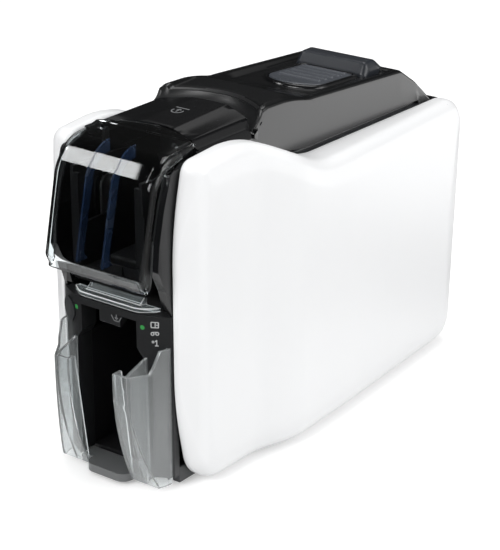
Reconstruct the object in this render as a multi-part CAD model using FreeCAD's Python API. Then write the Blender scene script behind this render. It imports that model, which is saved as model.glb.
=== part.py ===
# Desktop printer for plastic identity cards, built from separate pieces.
# Millimetres, Z up, front towards minus Y, origin under the middle of the printer.

import FreeCAD, Part
import math
import os

os.makedirs("parts", exist_ok=True)

V = FreeCAD.Vector

# Shared sizes
wall = 2.5                  # wall of the moulded covers
gap = 0.5                   # gap between neighbouring covers
running_gap = 0.05          # radial clearance of a shaft in its bore
free_gap = 0.4              # least distance of faces that move past each other
overrun = 2.0               # how far a cut reaches past the face it opens
seam_x = 47.3               # plane where the side covers meet the middle pieces
middle_x = 46.8             # half width of the middle pieces
plate_x = 42.75             # outer face of the steel frame plates
plate_thick = 1.5
plate_inner_x = plate_x - plate_thick

# Side cover outline, seen from the side
shell_front = -152.8
shell_length = 336.3
shell_bottom = 4.0
shell_height = 232.6
front_foot_radius = 22.0
front_bow_radius = 300.0
nose_radius = 10.0
hump_radius = 95.0
dip_radius = 80.0
tail_radius = 24.0
heel_radius = 20.0
# Corner places as shares of the outline's length and height, front to rear
front_foot_share = (0.028, 0.0)
front_low_share = (0.0, 0.249)
front_high_share = (0.0, 0.782)
nose_share = (0.025, 0.984)
hump_share = (0.187, 1.0)
dip_share = (0.400, 0.851)
tail_share = (1.0, 0.839)
heel_share = (0.970, 0.0)

# Side cover outline, seen from above
bulge_x = 78.2              # widest corner of the plan
waist_x = 67.8              # narrow stretch beside the card feeder
rear_x = 64.6
cheek_x = 66.5
strip_x = 43.3              # where the slanted front strip would meet the far front
cheek_radius = 12.0
waist_radius = 60.0
bulge_radius = 50.0
flank_radius = 400.0
strip_front_share = -0.021
cheek_share = 0.035
waist_share = 0.205
bulge_share = 0.300
flank_x = 75.9
flank_share = 0.490
rear_share = 1.02
rim_radius = 8.0            # soft rim round the side face
lip_radius = 4.0            # soft inner edge along the seam

# Card and card path
card_length = 85.6
card_width = 54.0
card_room = 1.0             # side clearance of a card in its trays
path_z = 140.0              # plane on which a card travels

# Gear train
gear_module = 1.25
roller_teeth = 20
idler_teeth = 26
link_teeth = 12
pinion_teeth = 12
gear_width = 5.0
gear_inner_x = 47.5         # inner face of the gears, left of the left frame plate
roller_axis_z = 132.0
shaft_radius = 3.0


def share_y(share):
    return shell_front + share * shell_length


def share_z(share):
    return shell_bottom + share * shell_height


# A closed outline from corners (u, v, radius), with each corner rounded by an arc
def outline_wire(corners, place):
    count = len(corners)
    edges = []
    starts = []
    ends = []
    for index in range(count):
        before = corners[index - 1]
        here = corners[index]
        after = corners[(index + 1) % count]
        point = V(here[0], here[1], 0)
        into = (point - V(before[0], before[1], 0)).normalize()
        out = (V(after[0], after[1], 0) - point).normalize()
        turn = into.getAngle(out)
        reach = here[2] * math.tan(turn / 2)
        start = point - into * reach
        end = point + out * reach
        starts.append(start)
        ends.append(end)
        if here[2] > 0:
            inward = (out - into).normalize()
            middle = point + inward * (here[2] / math.cos(turn / 2) - here[2])
            arc = Part.Arc(place(start), place(middle), place(end))
            edges.append((index, arc.toShape()))
    loop = []
    for index in range(count):
        loop += [edge for owner, edge in edges if owner == index]
        after = (index + 1) % count
        if (starts[after] - ends[index]).Length > running_gap / 100:
            line = Part.LineSegment(place(ends[index]), place(starts[after]))
            loop.append(line.toShape())
    return Part.Wire(loop)


def on_side(point):
    return V(0, point.x, point.y)


def on_plan(point):
    return V(point.x, point.y, 0)


def on_front(point):
    return V(point.x, 0, point.y)


def side_prism(corners, x_low, x_high):
    face = Part.Face(outline_wire(corners, on_side))
    face.translate(V(x_low, 0, 0))
    return face.extrude(V(x_high - x_low, 0, 0))


def plan_prism(corners, z_low, z_high):
    face = Part.Face(outline_wire(corners, on_plan))
    face.translate(V(0, 0, z_low))
    return face.extrude(V(0, 0, z_high - z_low))


def front_prism(corners, y_low, y_high):
    face = Part.Face(outline_wire(corners, on_front))
    face.translate(V(0, y_low, 0))
    return face.extrude(V(0, y_high - y_low, 0))


def block(x_low, x_high, y_low, y_high, z_low, z_high):
    size = (x_high - x_low, y_high - y_low, z_high - z_low)
    return Part.makeBox(size[0], size[1], size[2], V(x_low, y_low, z_low))


def rod_x(radius, x_low, x_high, y, z):
    return Part.makeCylinder(radius, x_high - x_low, V(x_low, y, z), V(1, 0, 0))


def rod_y(radius, y_low, y_high, x, z):
    return Part.makeCylinder(radius, y_high - y_low, V(x, y_low, z), V(0, 1, 0))


def rod_z(radius, z_low, z_high, x, y):
    return Part.makeCylinder(radius, z_high - z_low, V(x, y, z_low), V(0, 0, 1))


def mirrored(shape):
    return shape.mirror(V(0, 0, 0), V(1, 0, 0))


def joined(shapes):
    whole = shapes[0].fuse(shapes[1:])
    return whole.removeSplitter()


def save(name, shape):
    shape.exportStep("parts/" + name + ".step")
    print(name, "solids", len(shape.Solids), "valid", shape.isValid(), "volume", round(shape.Volume, 1))


# Outline of the side covers, drawn in by an inset
def side_corners():
    return [
        (share_y(front_foot_share[0]), share_z(front_foot_share[1]), front_foot_radius),
        (share_y(front_low_share[0]), share_z(front_low_share[1]), front_bow_radius),
        (share_y(front_high_share[0]), share_z(front_high_share[1]), front_bow_radius),
        (share_y(nose_share[0]), share_z(nose_share[1]), nose_radius),
        (share_y(hump_share[0]), share_z(hump_share[1]), hump_radius),
        (share_y(dip_share[0]), share_z(dip_share[1]), dip_radius),
        (share_y(tail_share[0]), share_z(tail_share[1]), tail_radius),
        (share_y(heel_share[0]), share_z(heel_share[1]), heel_radius),
    ]


def plan_corners(x_low):
    return [
        (x_low, share_y(strip_front_share), 0),
        (strip_x, share_y(strip_front_share), 0),
        (cheek_x, share_y(cheek_share), cheek_radius),
        (waist_x, share_y(waist_share), waist_radius),
        (bulge_x, share_y(bulge_share), bulge_radius),
        (flank_x, share_y(flank_share), flank_radius),
        (rear_x, share_y(rear_share), 0),
        (x_low, share_y(rear_share), 0),
    ]


def side_body(inset, x_low):
    profile = Part.Face(outline_wire(side_corners(), on_side))
    plan = Part.Face(outline_wire(plan_corners(strip_x - wall), on_plan))
    if inset > 0:
        profile = profile.makeOffset2D(-inset)
        plan = plan.makeOffset2D(-inset)
    profile.translate(V(x_low, 0, 0))
    across = profile.extrude(V(bulge_x, 0, 0))
    upright = plan.extrude(V(0, 0, shell_height + shell_bottom + overrun))
    return across.common(upright)


# Edges of a side body: those round its side face, and those along the seam
def rim_edges(body, x_seam):
    edges = []
    for edge in body.Edges:
        box = edge.BoundBox
        upright = box.XLength < running_gap and box.YLength < running_gap
        across = box.YLength < running_gap and box.ZLength < running_gap
        if box.XMax > x_seam + running_gap and not upright and not across:
            edges.append(edge)
    return edges


def seam_edges(body, x_seam):
    return [edge for edge in body.Edges if edge.BoundBox.XMax < x_seam + running_gap]


# Screw posts that carry a side cover on the frame
post_radius = 4.0
post_hole_radius = 1.4
post_depth = 12.0
post_shares = ((0.14, 0.10), (0.14, 0.80), (0.86, 0.12), (0.62, 0.76))

# Hinge of the top cover
cover_hinge_y = 158.0
cover_hinge_z = 194.6
cover_barrel_radius = 5.2
cover_pin_radius = 2.5
cover_pin_length = 15.0
pin_boss_radius = 4.4


def side_cover():
    outer = side_body(0, seam_x)
    outer = outer.makeFillet(rim_radius, rim_edges(outer, seam_x))
    outer = outer.makeFillet(lip_radius, seam_edges(outer, seam_x))
    inner = side_body(wall, seam_x - overrun)
    inner = inner.makeFillet(rim_radius - wall, rim_edges(inner, seam_x))
    shell = outer.cut(inner)
    posts = []
    for share in post_shares:
        y = share_y(share[0])
        z = share_z(share[1])
        posts.append(rod_x(post_radius, seam_x, bulge_x, y, z))
    posts.append(rod_x(pin_boss_radius, seam_x + gap, bulge_x, cover_hinge_y, cover_hinge_z))
    trimmed = [post.common(outer) for post in posts]
    for share in post_shares:
        trimmed.append(rod_x(post_radius, plate_x, seam_x + overrun, share_y(share[0]),
                             share_z(share[1])))
    shell = shell.fuse(trimmed)
    holes = []
    for share in post_shares:
        y = share_y(share[0])
        z = share_z(share[1])
        holes.append(rod_x(post_hole_radius, plate_x - overrun, plate_x + post_depth, y, z))
    holes.append(rod_x(cover_pin_radius, seam_x, seam_x + cover_pin_length, cover_hinge_y,
                       cover_hinge_z))
    return shell.cut(holes)


right_side = side_cover()
save("right_side_cover", right_side)
save("left_side_cover", mirrored(right_side))

# Rubber feet
foot_radius = 8.0
foot_height = 3.0
foot_x = 34.0
foot_front_share = 0.075
foot_rear_share = 0.90


def rubber_feet():
    feet = []
    for x in (-foot_x, foot_x):
        for share in (foot_front_share, foot_rear_share):
            foot = rod_z(foot_radius, 0, foot_height, x, share_y(share))
            feet.append(foot.makeChamfer(foot_height / 4, [foot.Edges[2]]))
    return Part.makeCompound(feet)


save("rubber_feet", rubber_feet())

# Mouth of the output hopper and its liner
mouth_x = 28.5
mouth_top = 97.0
liner_wall = 2.0
liner_rear = -84.0

# Base tray with its front tongue between the hopper wings
tray_floor = 3.0
tray_front = -147.5
tray_wall_height = 12.0
tray_rear_share = 0.955
tongue_x = 18.6
tongue_front = -171.5
tongue_radius = 8.0
sill_half = 28.0
sill_reach = 14.0
tongue_top = 9.0
tray_rib = 1.6
rib_count = 5
tray_z = foot_height
tray_rear = share_y(tray_rear_share)


def base_tray():
    plate = block(-middle_x, middle_x, tray_front, tray_rear, tray_z, tray_z + tray_wall_height)
    room = block(-middle_x + wall, middle_x - wall, tray_front + wall, tray_rear - wall,
                 tray_z + tray_floor, tray_z + tray_wall_height + overrun)
    tray = plate.cut(room)
    doorway = block(-mouth_x - liner_wall, mouth_x + liner_wall, tray_front - overrun,
                    tray_front + wall + overrun,
                    tray_z + tray_floor, tray_z + tray_wall_height + overrun)
    tray = tray.cut(doorway)
    tongue_corners = [
        (-sill_half, tray_front + wall, 0),
        (-sill_half, tray_front - sill_reach, 0),
        (-tongue_x, tray_front - sill_reach, 0),
        (-tongue_x, tongue_front, tongue_radius),
        (tongue_x, tongue_front, tongue_radius),
        (tongue_x, tray_front - sill_reach, 0),
        (sill_half, tray_front - sill_reach, 0),
        (sill_half, tray_front + wall, 0),
    ]
    tongue = plan_prism(tongue_corners, tray_z, tongue_top).cut(doorway)
    pitch = (tray_rear - liner_rear) / (rib_count + 1)
    rib_x = plate_inner_x - gap
    ribs = []
    for index in range(rib_count):
        y = liner_rear + pitch * (index + 1)
        ribs.append(block(-rib_x, rib_x, y, y + tray_rib,
                          tray_z + tray_floor, tray_z + tray_wall_height / 2))
    return joined([tray, tongue] + ribs)


save("base_tray", base_tray())

# Front bezel, bowed forward, with the mouth of the output hopper
bezel_face = -162.3
bezel_edge_y = -152.5
bezel_flat_x = 30.0
bezel_corner_radius = 30.0
bezel_bottom = tongue_top
bezel_top = 127.0
slot_x = 24.0
slot_rise = 6.0
slot_top = 122.0
power_x = -38.5
power_z = 114.0
power_radius = 8.2
power_ring = 2.2
power_stand = 1.4
lamp_radius = 1.6
lamp_left = (-29.0, 118.5)
lamp_right = (28.5, 118.5)
lamp_length = 7.0


def bezel_corners(inset):
    return [
        (-middle_x + inset, bezel_edge_y + wall * 2, 0),
        (-middle_x + inset, bezel_edge_y + inset, 0),
        (-bezel_flat_x + inset / 2, bezel_face + inset, bezel_corner_radius),
        (bezel_flat_x - inset / 2, bezel_face + inset, bezel_corner_radius),
        (middle_x - inset, bezel_edge_y + inset, 0),
        (middle_x - inset, bezel_edge_y + wall * 2, 0),
    ]


def mouth_corners(grow):
    return [
        (-mouth_x - grow, bezel_bottom - overrun, 0),
        (-mouth_x - grow, mouth_top, 0),
        (-slot_x - grow, mouth_top + slot_rise, 0),
        (-slot_x - grow, slot_top + grow, 0),
        (slot_x + grow, slot_top + grow, 0),
        (slot_x + grow, mouth_top + slot_rise, 0),
        (mouth_x + grow, mouth_top, 0),
        (mouth_x + grow, bezel_bottom - overrun, 0),
    ]


# Guide block over the middle of the exit
guide_x = 9.0
guide_bottom = 112.0
guide_depth = 9.0


def exit_guide():
    y_front = bezel_face + wall / 2
    corners = [
        (y_front, slot_top, 0),
        (y_front, guide_bottom, wall / 2),
        (y_front + guide_depth, guide_bottom + wall * 2, wall / 2),
        (y_front + guide_depth, slot_top, 0),
    ]
    return side_prism(corners, -guide_x, guide_x)


# Slanted button face follows the bezel; its well is a ring round it
def front_bezel():
    solid = plan_prism(bezel_corners(0), bezel_bottom, bezel_top)
    inside = plan_prism(bezel_corners(wall), bezel_bottom - overrun, bezel_top - wall)
    shell = solid.cut(inside)
    rear = bezel_edge_y + wall * 2
    frame = front_prism(mouth_corners(wall), bezel_face - overrun, rear).common(solid)
    well = rod_y(power_radius + power_ring, bezel_face, rear, power_x, power_z).common(solid)
    bezel = shell.fuse([frame, well])
    bezel = bezel.cut(front_prism(mouth_corners(0), bezel_face - overrun, rear + overrun))
    holes = [rod_y(power_radius + free_gap, bezel_face - overrun, rear + overrun, power_x, power_z)]
    for x, z in (lamp_left, lamp_right):
        holes.append(rod_y(lamp_radius, bezel_face - overrun, rear + overrun, x, z))
    return bezel.cut(holes).fuse(exit_guide()).removeSplitter()


save("front_bezel", front_bezel())


def light_pipes():
    solid = plan_prism(bezel_corners(0), bezel_bottom, bezel_top)
    pipes = []
    for x, z in (lamp_left, lamp_right):
        pipes.append(rod_y(lamp_radius, bezel_face - overrun, bezel_face + lamp_length, x,
                           z).common(solid))
    return Part.makeCompound(pipes)


save("light_pipes", light_pipes())


def power_button():
    rear = bezel_edge_y + wall
    slant = plan_prism(bezel_corners(0), bezel_bottom, bezel_top)
    slant.translate(V(0, -power_stand, 0))
    cap = rod_y(power_radius, bezel_face - overrun, rear, power_x, power_z).common(slant)
    cup = rod_y(power_radius - wall / 2, rear - wall * 2, rear + overrun, power_x, power_z)
    stem = rod_y(wall, rear - wall * 2 - overrun, rear + wall, power_x, power_z)
    return joined([cap.cut(cup), stem])


save("power_button", power_button())

# Clear lip of the single-card slot
lip_reach = 4.6
lip_thick = 3.2
lip_side_x = 42.0
lip_base_z = bezel_top
lip_corner_radius = 14.0
tray_slot_x = card_width / 2 + card_room
hopper_floor_z = path_z - wall / 2
hopper_front = -160.5


def feed_lip():
    face = bezel_face - lip_reach
    corners = [
        (-lip_side_x, bezel_edge_y + wall, 0),
        (-lip_side_x, bezel_edge_y - lip_reach, lip_corner_radius / 2),
        (-bezel_flat_x, face, lip_corner_radius),
        (bezel_flat_x, face, lip_corner_radius),
        (lip_side_x, bezel_edge_y - lip_reach, lip_corner_radius / 2),
        (lip_side_x, bezel_edge_y + wall, 0),
    ]
    rim = plan_prism(corners, lip_base_z, lip_base_z + lip_thick)
    ramp_corners = [
        (bezel_face, lip_base_z + lip_thick / 2, 0),
        (bezel_edge_y, hopper_floor_z - gap - wall, 0),
        (bezel_edge_y + wall, hopper_floor_z - gap - wall, 0),
        (bezel_edge_y + wall, lip_base_z + lip_thick / 2, 0),
    ]
    ramp = side_prism(ramp_corners, -tray_slot_x, tray_slot_x)
    return joined([rim, ramp])


save("manual_feed_lip", feed_lip())

# Output hopper liner behind the mouth
liner_front = bezel_edge_y + wall * 2
liner_top = mouth_top


def output_hopper():
    low = tray_z + tray_floor
    outer = block(-mouth_x - liner_wall, mouth_x + liner_wall, liner_front, liner_rear, low, liner_top)
    inner = block(-mouth_x, mouth_x, liner_front - overrun, liner_rear - liner_wall,
                  low + liner_wall * 2, liner_top + overrun)
    return outer.cut(inner)


save("output_hopper", output_hopper())

# Clear wings of the output hopper
wing_wall = 2.2
wing_inner_x = 19.3
wing_nose_x = 31.5
wing_crease_x = 42.5
wing_crease_y = -166.0
wing_side_x = 45.5
wing_nose_y = -182.3
wing_foot_y = -165.0
wing_mid_y = -178.8
wing_nose_z = 90.0
wing_mid_z = 48.0
wing_foot_z = 4.8
wing_rear_y = -151.0
wing_top_z = 105.0
wing_step_y = -168.5        # the top edge steps up behind the crease
wing_rise_y = -161.5
wing_inner_top_z = 100.0    # rear height of the inner wall beside the mouth
wing_return_y = -175.5
wing_return_foot_y = -163.5


def wing_side_face(top_edge):
    nose = V(0, wing_nose_y, wing_nose_z)
    middle = V(0, wing_mid_y, wing_mid_z)
    foot = V(0, wing_foot_y, wing_foot_z)
    edges = [Part.Arc(foot, middle, nose).toShape()]
    here = nose
    for y, z in top_edge + [(wing_rear_y, wing_foot_z), (wing_foot_y, wing_foot_z)]:
        edges.append(Part.LineSegment(here, V(0, y, z)).toShape())
        here = V(0, y, z)
    return Part.Face(Part.Wire(edges))


def wing_plan(inset):
    return [
        (wing_inner_x + inset, wing_nose_y - wing_wall, 0),
        (wing_inner_x + inset, wing_rear_y, 0),
        (wing_side_x - inset, wing_rear_y, 0),
        (wing_side_x - inset, bezel_edge_y - wing_wall * 2, wing_wall * 2 - inset),
        (wing_crease_x - inset, wing_crease_y, 0),
        (wing_nose_x - inset, wing_nose_y, 0),
        (wing_nose_x - inset, wing_nose_y - wing_wall, 0),
    ]


def hopper_wing():
    top_edge = [(wing_step_y, wing_nose_z), (wing_rise_y, wing_top_z), (wing_rear_y, wing_top_z)]
    outer = wing_side_face(top_edge).extrude(V(middle_x, 0, 0))
    outer = outer.common(plan_prism(wing_plan(0), 0, wing_top_z + overrun))
    room = plan_prism(wing_plan(wing_wall), -overrun, wing_top_z + overrun)
    tall = block(0, middle_x, wing_rear_y - wing_nose_z, wing_rear_y + overrun, -overrun,
                 wing_top_z + overrun)
    tall = tall.cut(front_room(wing_wall))
    wing = outer.cut(room.common(tall))
    opening_corners = [
        (wing_return_foot_y, wing_foot_z - overrun, 0),
        (wing_return_y, wing_nose_z + overrun * 2, 0),
        (wing_return_y, wing_top_z + overrun, 0),
        (wing_rear_y + overrun, wing_top_z + overrun, 0),
        (wing_rear_y + overrun, wing_foot_z - overrun, 0),
    ]
    wing = wing.cut(side_prism(opening_corners, wing_inner_x - overrun, wing_nose_x - wing_wall))
    inner_wall = wing_side_face([(wing_rear_y, wing_inner_top_z)]).extrude(V(wing_wall, 0, 0))
    inner_wall.translate(V(wing_nose_x - wing_wall, 0, 0))
    wing = wing.fuse(inner_wall)
    bezel_body = plan_prism(bezel_corners(0), wing_foot_z - overrun, bezel_top)
    behind = block(0, middle_x + overrun, bezel_edge_y + wall, 0, 0, bezel_top)
    return wing.cut([bezel_body, behind])


# Space in front of the wing's inner faces, which the hollow must not cut away
def front_room(inset):
    nose = V(0, wing_nose_y + inset, wing_nose_z)
    middle = V(0, wing_mid_y + inset, wing_mid_z)
    foot = V(0, wing_foot_y + inset, wing_foot_z)
    above = nose + (nose - middle).normalize() * wing_nose_z
    below = foot + (foot - middle).normalize() * wing_foot_z * 2
    far_above = V(0, wing_nose_y - wing_nose_z, above.z)
    far_below = V(0, wing_nose_y - wing_nose_z, below.z)
    edges = [
        Part.Arc(foot, middle, nose).toShape(),
        Part.LineSegment(nose, above).toShape(),
        Part.LineSegment(above, far_above).toShape(),
        Part.LineSegment(far_above, far_below).toShape(),
        Part.LineSegment(far_below, below).toShape(),
        Part.LineSegment(below, foot).toShape(),
    ]
    return Part.Face(Part.Wire(edges)).extrude(V(middle_x, 0, 0))


right_wing = hopper_wing()
save("right_hopper_wing", right_wing)
save("left_hopper_wing", mirrored(right_wing))

# Front cap over the card feeder
cap_top_rear_z = 240.5
cap_fall = 2.5              # fall of the cap's top towards the front
cap_top_front_z = cap_top_rear_z - cap_fall
cap_rear_y = -50.0
cap_foot_y = -152.0         # front of the cap where it stands on the bezel
cap_bend_y = -158.0
cap_bend_z = 146.0
cap_bend_radius = 20.0
cap_flange_x = 39.5         # opening between the flanges behind the door's rim
cap_low_z = bezel_top
cap_cheek = 2.2
cap_cheek_rear_y = -113.0
cap_skin_drop = 35.5
cap_skin_low_z = cap_top_rear_z - cap_skin_drop
cap_bevel_drop = 4.5
cap_bevel_width = 11.0
cap_side_x = 42.0
cap_shoulder_drop = 9.0
seam_middle_y = -107.5
seam_side_y = -121.5
seam_side_x = 40.5
cap_round_share = 0.55
cap_undercut = 8.0          # slope under the cap's front edge, for the door's rear edge to turn in

# Hinge of the feeder door
door_hinge_y = -126.0
door_hinge_drop = 5.7
door_hinge_z = cap_top_front_z - door_hinge_drop
door_barrel_radius = 4.2
door_pin_radius = 1.2
door_pin_reach = 2.0        # length of pin held in the hopper's ear
door_lug_width = 6.0


# Everything in front of the bowed seam between the door and the cap
def seam_prism(shift, z_low, z_high):
    left = V(-seam_side_x, seam_side_y + shift, z_low)
    right = V(seam_side_x, seam_side_y + shift, z_low)
    middle = V(0, seam_middle_y + shift, z_low)
    far_left = V(-middle_x - overrun, seam_side_y + shift, z_low)
    far_right = V(middle_x + overrun, seam_side_y + shift, z_low)
    near_left = V(-middle_x - overrun, wing_nose_y - overrun, z_low)
    near_right = V(middle_x + overrun, wing_nose_y - overrun, z_low)
    edges = [
        Part.Arc(left, middle, right).toShape(),
        Part.LineSegment(right, far_right).toShape(),
        Part.LineSegment(far_right, near_right).toShape(),
        Part.LineSegment(near_right, near_left).toShape(),
        Part.LineSegment(near_left, far_left).toShape(),
        Part.LineSegment(far_left, left).toShape(),
    ]
    return Part.Face(Part.Wire(edges)).extrude(V(0, 0, z_high - z_low))


# The slope under the seam: it runs back as far as it runs down
def seam_undercut():
    low_z = cap_top_front_z - cap_undercut
    tall = seam_prism(gap + cap_undercut, low_z, cap_top_front_z)
    base = min(tall.Faces, key=lambda face: face.CenterOfMass.z)
    return base.extrude(V(0, -cap_undercut, cap_undercut))


# Cross-section of the cap, seen from the front
def cap_section(inset, z_low):
    top = cap_top_rear_z - inset
    return [
        (-middle_x + inset, z_low, 0),
        (-middle_x + inset, top - cap_bevel_drop - cap_shoulder_drop, wall),
        (-cap_side_x + inset, top - cap_bevel_drop, wall),
        (-cap_side_x + cap_bevel_width + inset, top, wall),
        (cap_side_x - cap_bevel_width - inset, top, wall),
        (cap_side_x - inset, top - cap_bevel_drop, wall),
        (middle_x - inset, top - cap_bevel_drop - cap_shoulder_drop, wall),
        (middle_x - inset, z_low, 0),
    ]


# Side profile of the cap: top plate with a cheek down each side of the feeder
def cap_profile(inset):
    back = gap + inset
    return [
        (cap_foot_y + inset, cap_low_z - inset * 2, 0),
        (cap_bend_y + inset, cap_bend_z, cap_bend_radius),
        (door_rim_foot_y + back, door_rim_foot_z, door_foot_radius),
        (door_rim_low_y + back, door_rim_low_z, door_rim_radius),
        (door_rim_mid_y + back, door_rim_mid_z, door_rim_radius),
        (door_rim_top_y + back, door_rim_top_z, door_foot_radius),
        (door_hinge_y - door_barrel_radius * 2, cap_top_front_z - door_barrel_radius - inset,
         nose_radius),
        (seam_side_y, cap_top_front_z - inset, wall),
        (cap_rear_y, cap_top_rear_z - inset, 0),
        (cap_rear_y, cap_skin_low_z, 0),
        (cap_cheek_rear_y, cap_skin_low_z, nose_radius),
        (cap_cheek_rear_y, cap_low_z - inset * 2, 0),
    ]


def cap_rear_round():
    left = V(-middle_x - overrun, cap_rear_y - lip_scoop_depth * cap_round_share, 0)
    right = V(middle_x + overrun, cap_rear_y - lip_scoop_depth * cap_round_share, 0)
    middle = V(0, cap_rear_y, 0)
    front_left = V(-middle_x - overrun, door_bottom_y, 0)
    front_right = V(middle_x + overrun, door_bottom_y, 0)
    edges = [
        Part.Arc(left, middle, right).toShape(),
        Part.LineSegment(right, front_right).toShape(),
        Part.LineSegment(front_right, front_left).toShape(),
        Part.LineSegment(front_left, left).toShape(),
    ]
    return Part.Face(Part.Wire(edges)).extrude(V(0, 0, cap_top_rear_z + overrun))


# Scoop at the front of the top cover
lip_scoop_depth = 20.0


def front_cap():
    front = door_rim_foot_y - overrun
    section = front_prism(cap_section(0, cap_low_z), front, cap_rear_y)
    outer = side_prism(cap_profile(0), -middle_x, middle_x).common(section)
    outer = outer.common(cap_rear_round())
    inner_section = front_prism(cap_section(cap_cheek, cap_low_z - overrun), front,
                                cap_rear_y + overrun)
    inner = side_prism(cap_profile(cap_cheek), -middle_x, middle_x).common(inner_section)
    shell = outer.cut(inner)
    flange_top = door_rim_top_z - gap
    middle_front = seam_prism(gap, flange_top, cap_top_rear_z + overrun)
    inside_x = middle_x - cap_cheek
    band = block(-inside_x, inside_x, front, cap_rear_y, flange_top, cap_top_rear_z + overrun)
    shell = shell.cut(middle_front.common(band))
    turn_x = door_side_x + free_gap
    turn_room = block(-turn_x, turn_x, front, cap_rear_y, cap_top_front_z - cap_undercut,
                      cap_top_rear_z)
    shell = shell.cut(seam_undercut().common(turn_room))
    opening = block(-cap_flange_x, cap_flange_x, front, door_hinge_y, cap_low_z - overrun,
                    flange_top + overrun)
    lip_room = block(-inside_x, inside_x, front, door_hinge_y, cap_low_z - overrun,
                     cap_low_z + lip_thick + gap)
    return shell.cut([opening, lip_room]).removeSplitter()


# Feeder door, a clear visor
door_wall = 2.2
door_side_x = 42.5
door_bevel_x = 5.0
door_bottom_z = 148.5
door_top_z = cap_top_front_z
door_height = door_top_z - door_bottom_z
# Heights of the door's corners as shares of its height
chin_share = 0.112
brow_share = 0.782
crown_share = 0.961
rim_top_share = 0.866
rim_mid_share = 0.598
rim_low_share = 0.352
rim_foot_share = 0.162
door_bottom_y = -173.4
door_chin_y = -178.4
door_chin_z = door_bottom_z + door_height * chin_share
door_brow_y = -165.3
door_brow_z = door_bottom_z + door_height * brow_share
door_crown_y = -151.0
door_crown_z = door_bottom_z + door_height * crown_share
door_chin_radius = 6.0
door_brow_radius = 14.0
door_crown_radius = 12.0
door_rim_top_y = -152.0
door_rim_top_z = door_bottom_z + door_height * rim_top_share
door_rim_mid_y = -160.0
door_rim_mid_z = door_bottom_z + door_height * rim_mid_share
door_rim_low_y = -165.0
door_rim_low_z = door_bottom_z + door_height * rim_low_share
door_rim_foot_y = -166.5
door_rim_foot_z = door_bottom_z + door_height * rim_foot_share
door_rim_radius = 30.0
door_foot_radius = 5.0
door_wide_y = -100.0


def door_profile(inset):
    return [
        (door_bottom_y + inset, door_bottom_z + inset, 0),
        (door_chin_y + inset, door_chin_z + inset / 2, door_chin_radius),
        (door_brow_y + inset, door_brow_z, door_brow_radius),
        (door_crown_y + inset / 2, door_crown_z - inset, door_crown_radius),
        (seam_side_y, door_top_z - inset, 0),
        (door_wide_y, door_top_z - inset, 0),
        (door_wide_y, door_bottom_z + inset, 0),
    ]


# Bevels that turn the side walls into the front and top faces
def door_solid(inset):
    half = door_side_x - inset
    body = side_prism(door_profile(inset), -half, half)
    edges = []
    for edge in body.Edges:
        box = edge.BoundBox
        on_wall = box.XLength < running_gap and abs(abs(box.XMin) - half) < running_gap
        rear = box.YMin > door_wide_y - running_gap
        bottom = box.ZMax < door_bottom_z + inset + running_gap
        if on_wall and not rear and not bottom:
            edges.append(edge)
    return body.makeFillet(door_bevel_x - inset / 2, edges)


def door_rear_room():
    rear = [
        (door_bottom_y - running_gap, door_bottom_z - overrun, 0),
        (door_bottom_y + door_foot_radius, door_bottom_z + wall, door_foot_radius),
        (door_rim_foot_y, door_rim_foot_z, door_foot_radius),
        (door_rim_low_y, door_rim_low_z, door_rim_radius),
        (door_rim_mid_y, door_rim_mid_z, door_rim_radius),
        (door_rim_top_y, door_rim_top_z, door_foot_radius),
        (seam_side_y, door_top_z - wall, 0),
        (door_wide_y + overrun, door_top_z - wall, 0),
        (door_wide_y + overrun, door_bottom_z - overrun, 0),
    ]
    return side_prism(rear, -middle_x, middle_x)


def feeder_door():
    outer = door_solid(0)
    inner = door_solid(door_wall)
    shell = outer.cut(inner)
    shell = shell.cut(door_rear_room())
    shell = shell.common(seam_prism(0, door_bottom_z - overrun, door_top_z + overrun))
    lugs = []
    bores = []
    for side in (-1, 1):
        outer_x = side * (door_side_x - wall / 2)
        inner_x = side * (door_side_x - door_lug_width)
        low = min(outer_x, inner_x)
        high = max(outer_x, inner_x)
        barrel = rod_x(door_barrel_radius, low, high, door_hinge_y, door_hinge_z)
        ear = block(low, high, door_hinge_y - door_barrel_radius * 2, door_hinge_y,
                    door_hinge_z - door_barrel_radius,
                    door_top_z - door_wall / 2)
        lugs.append(barrel.fuse(ear).common(outer_limit(outer)))
        deep_x = side * (door_side_x - door_lug_width - overrun)
        bores.append(rod_x(door_pin_radius + running_gap, min(outer_x, deep_x), max(outer_x, deep_x),
                           door_hinge_y, door_hinge_z))
    shell = shell.fuse(lugs)
    return shell.cut(bores).removeSplitter()


# The door's outer form with the barrel's own round added, to trim the hinge lugs
def outer_limit(outer):
    barrel = rod_x(door_barrel_radius, -door_side_x, door_side_x, door_hinge_y, door_hinge_z)
    return outer.fuse(barrel)


save("feeder_door", feeder_door())
save("front_cap", front_cap())

# Clear ribs inside the door
door_rib_width = 1.6
door_rib_depth = 7.0
door_rib_places = (-13.8, 7.9)
rib_end_y = -140.0
rib_low_z = 159.0


def door_ribs():
    outer = door_solid(door_wall)
    core = door_solid(door_wall + door_rib_depth)
    band = outer.cut(core)
    ribs = []
    for x in door_rib_places:
        slab = block(x - door_rib_width / 2, x + door_rib_width / 2, wing_nose_y, rib_end_y, rib_low_z,
                     door_top_z)
        ribs.append(band.common(slab))
    return Part.makeCompound(ribs)


save("door_ribs", door_ribs())

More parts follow.
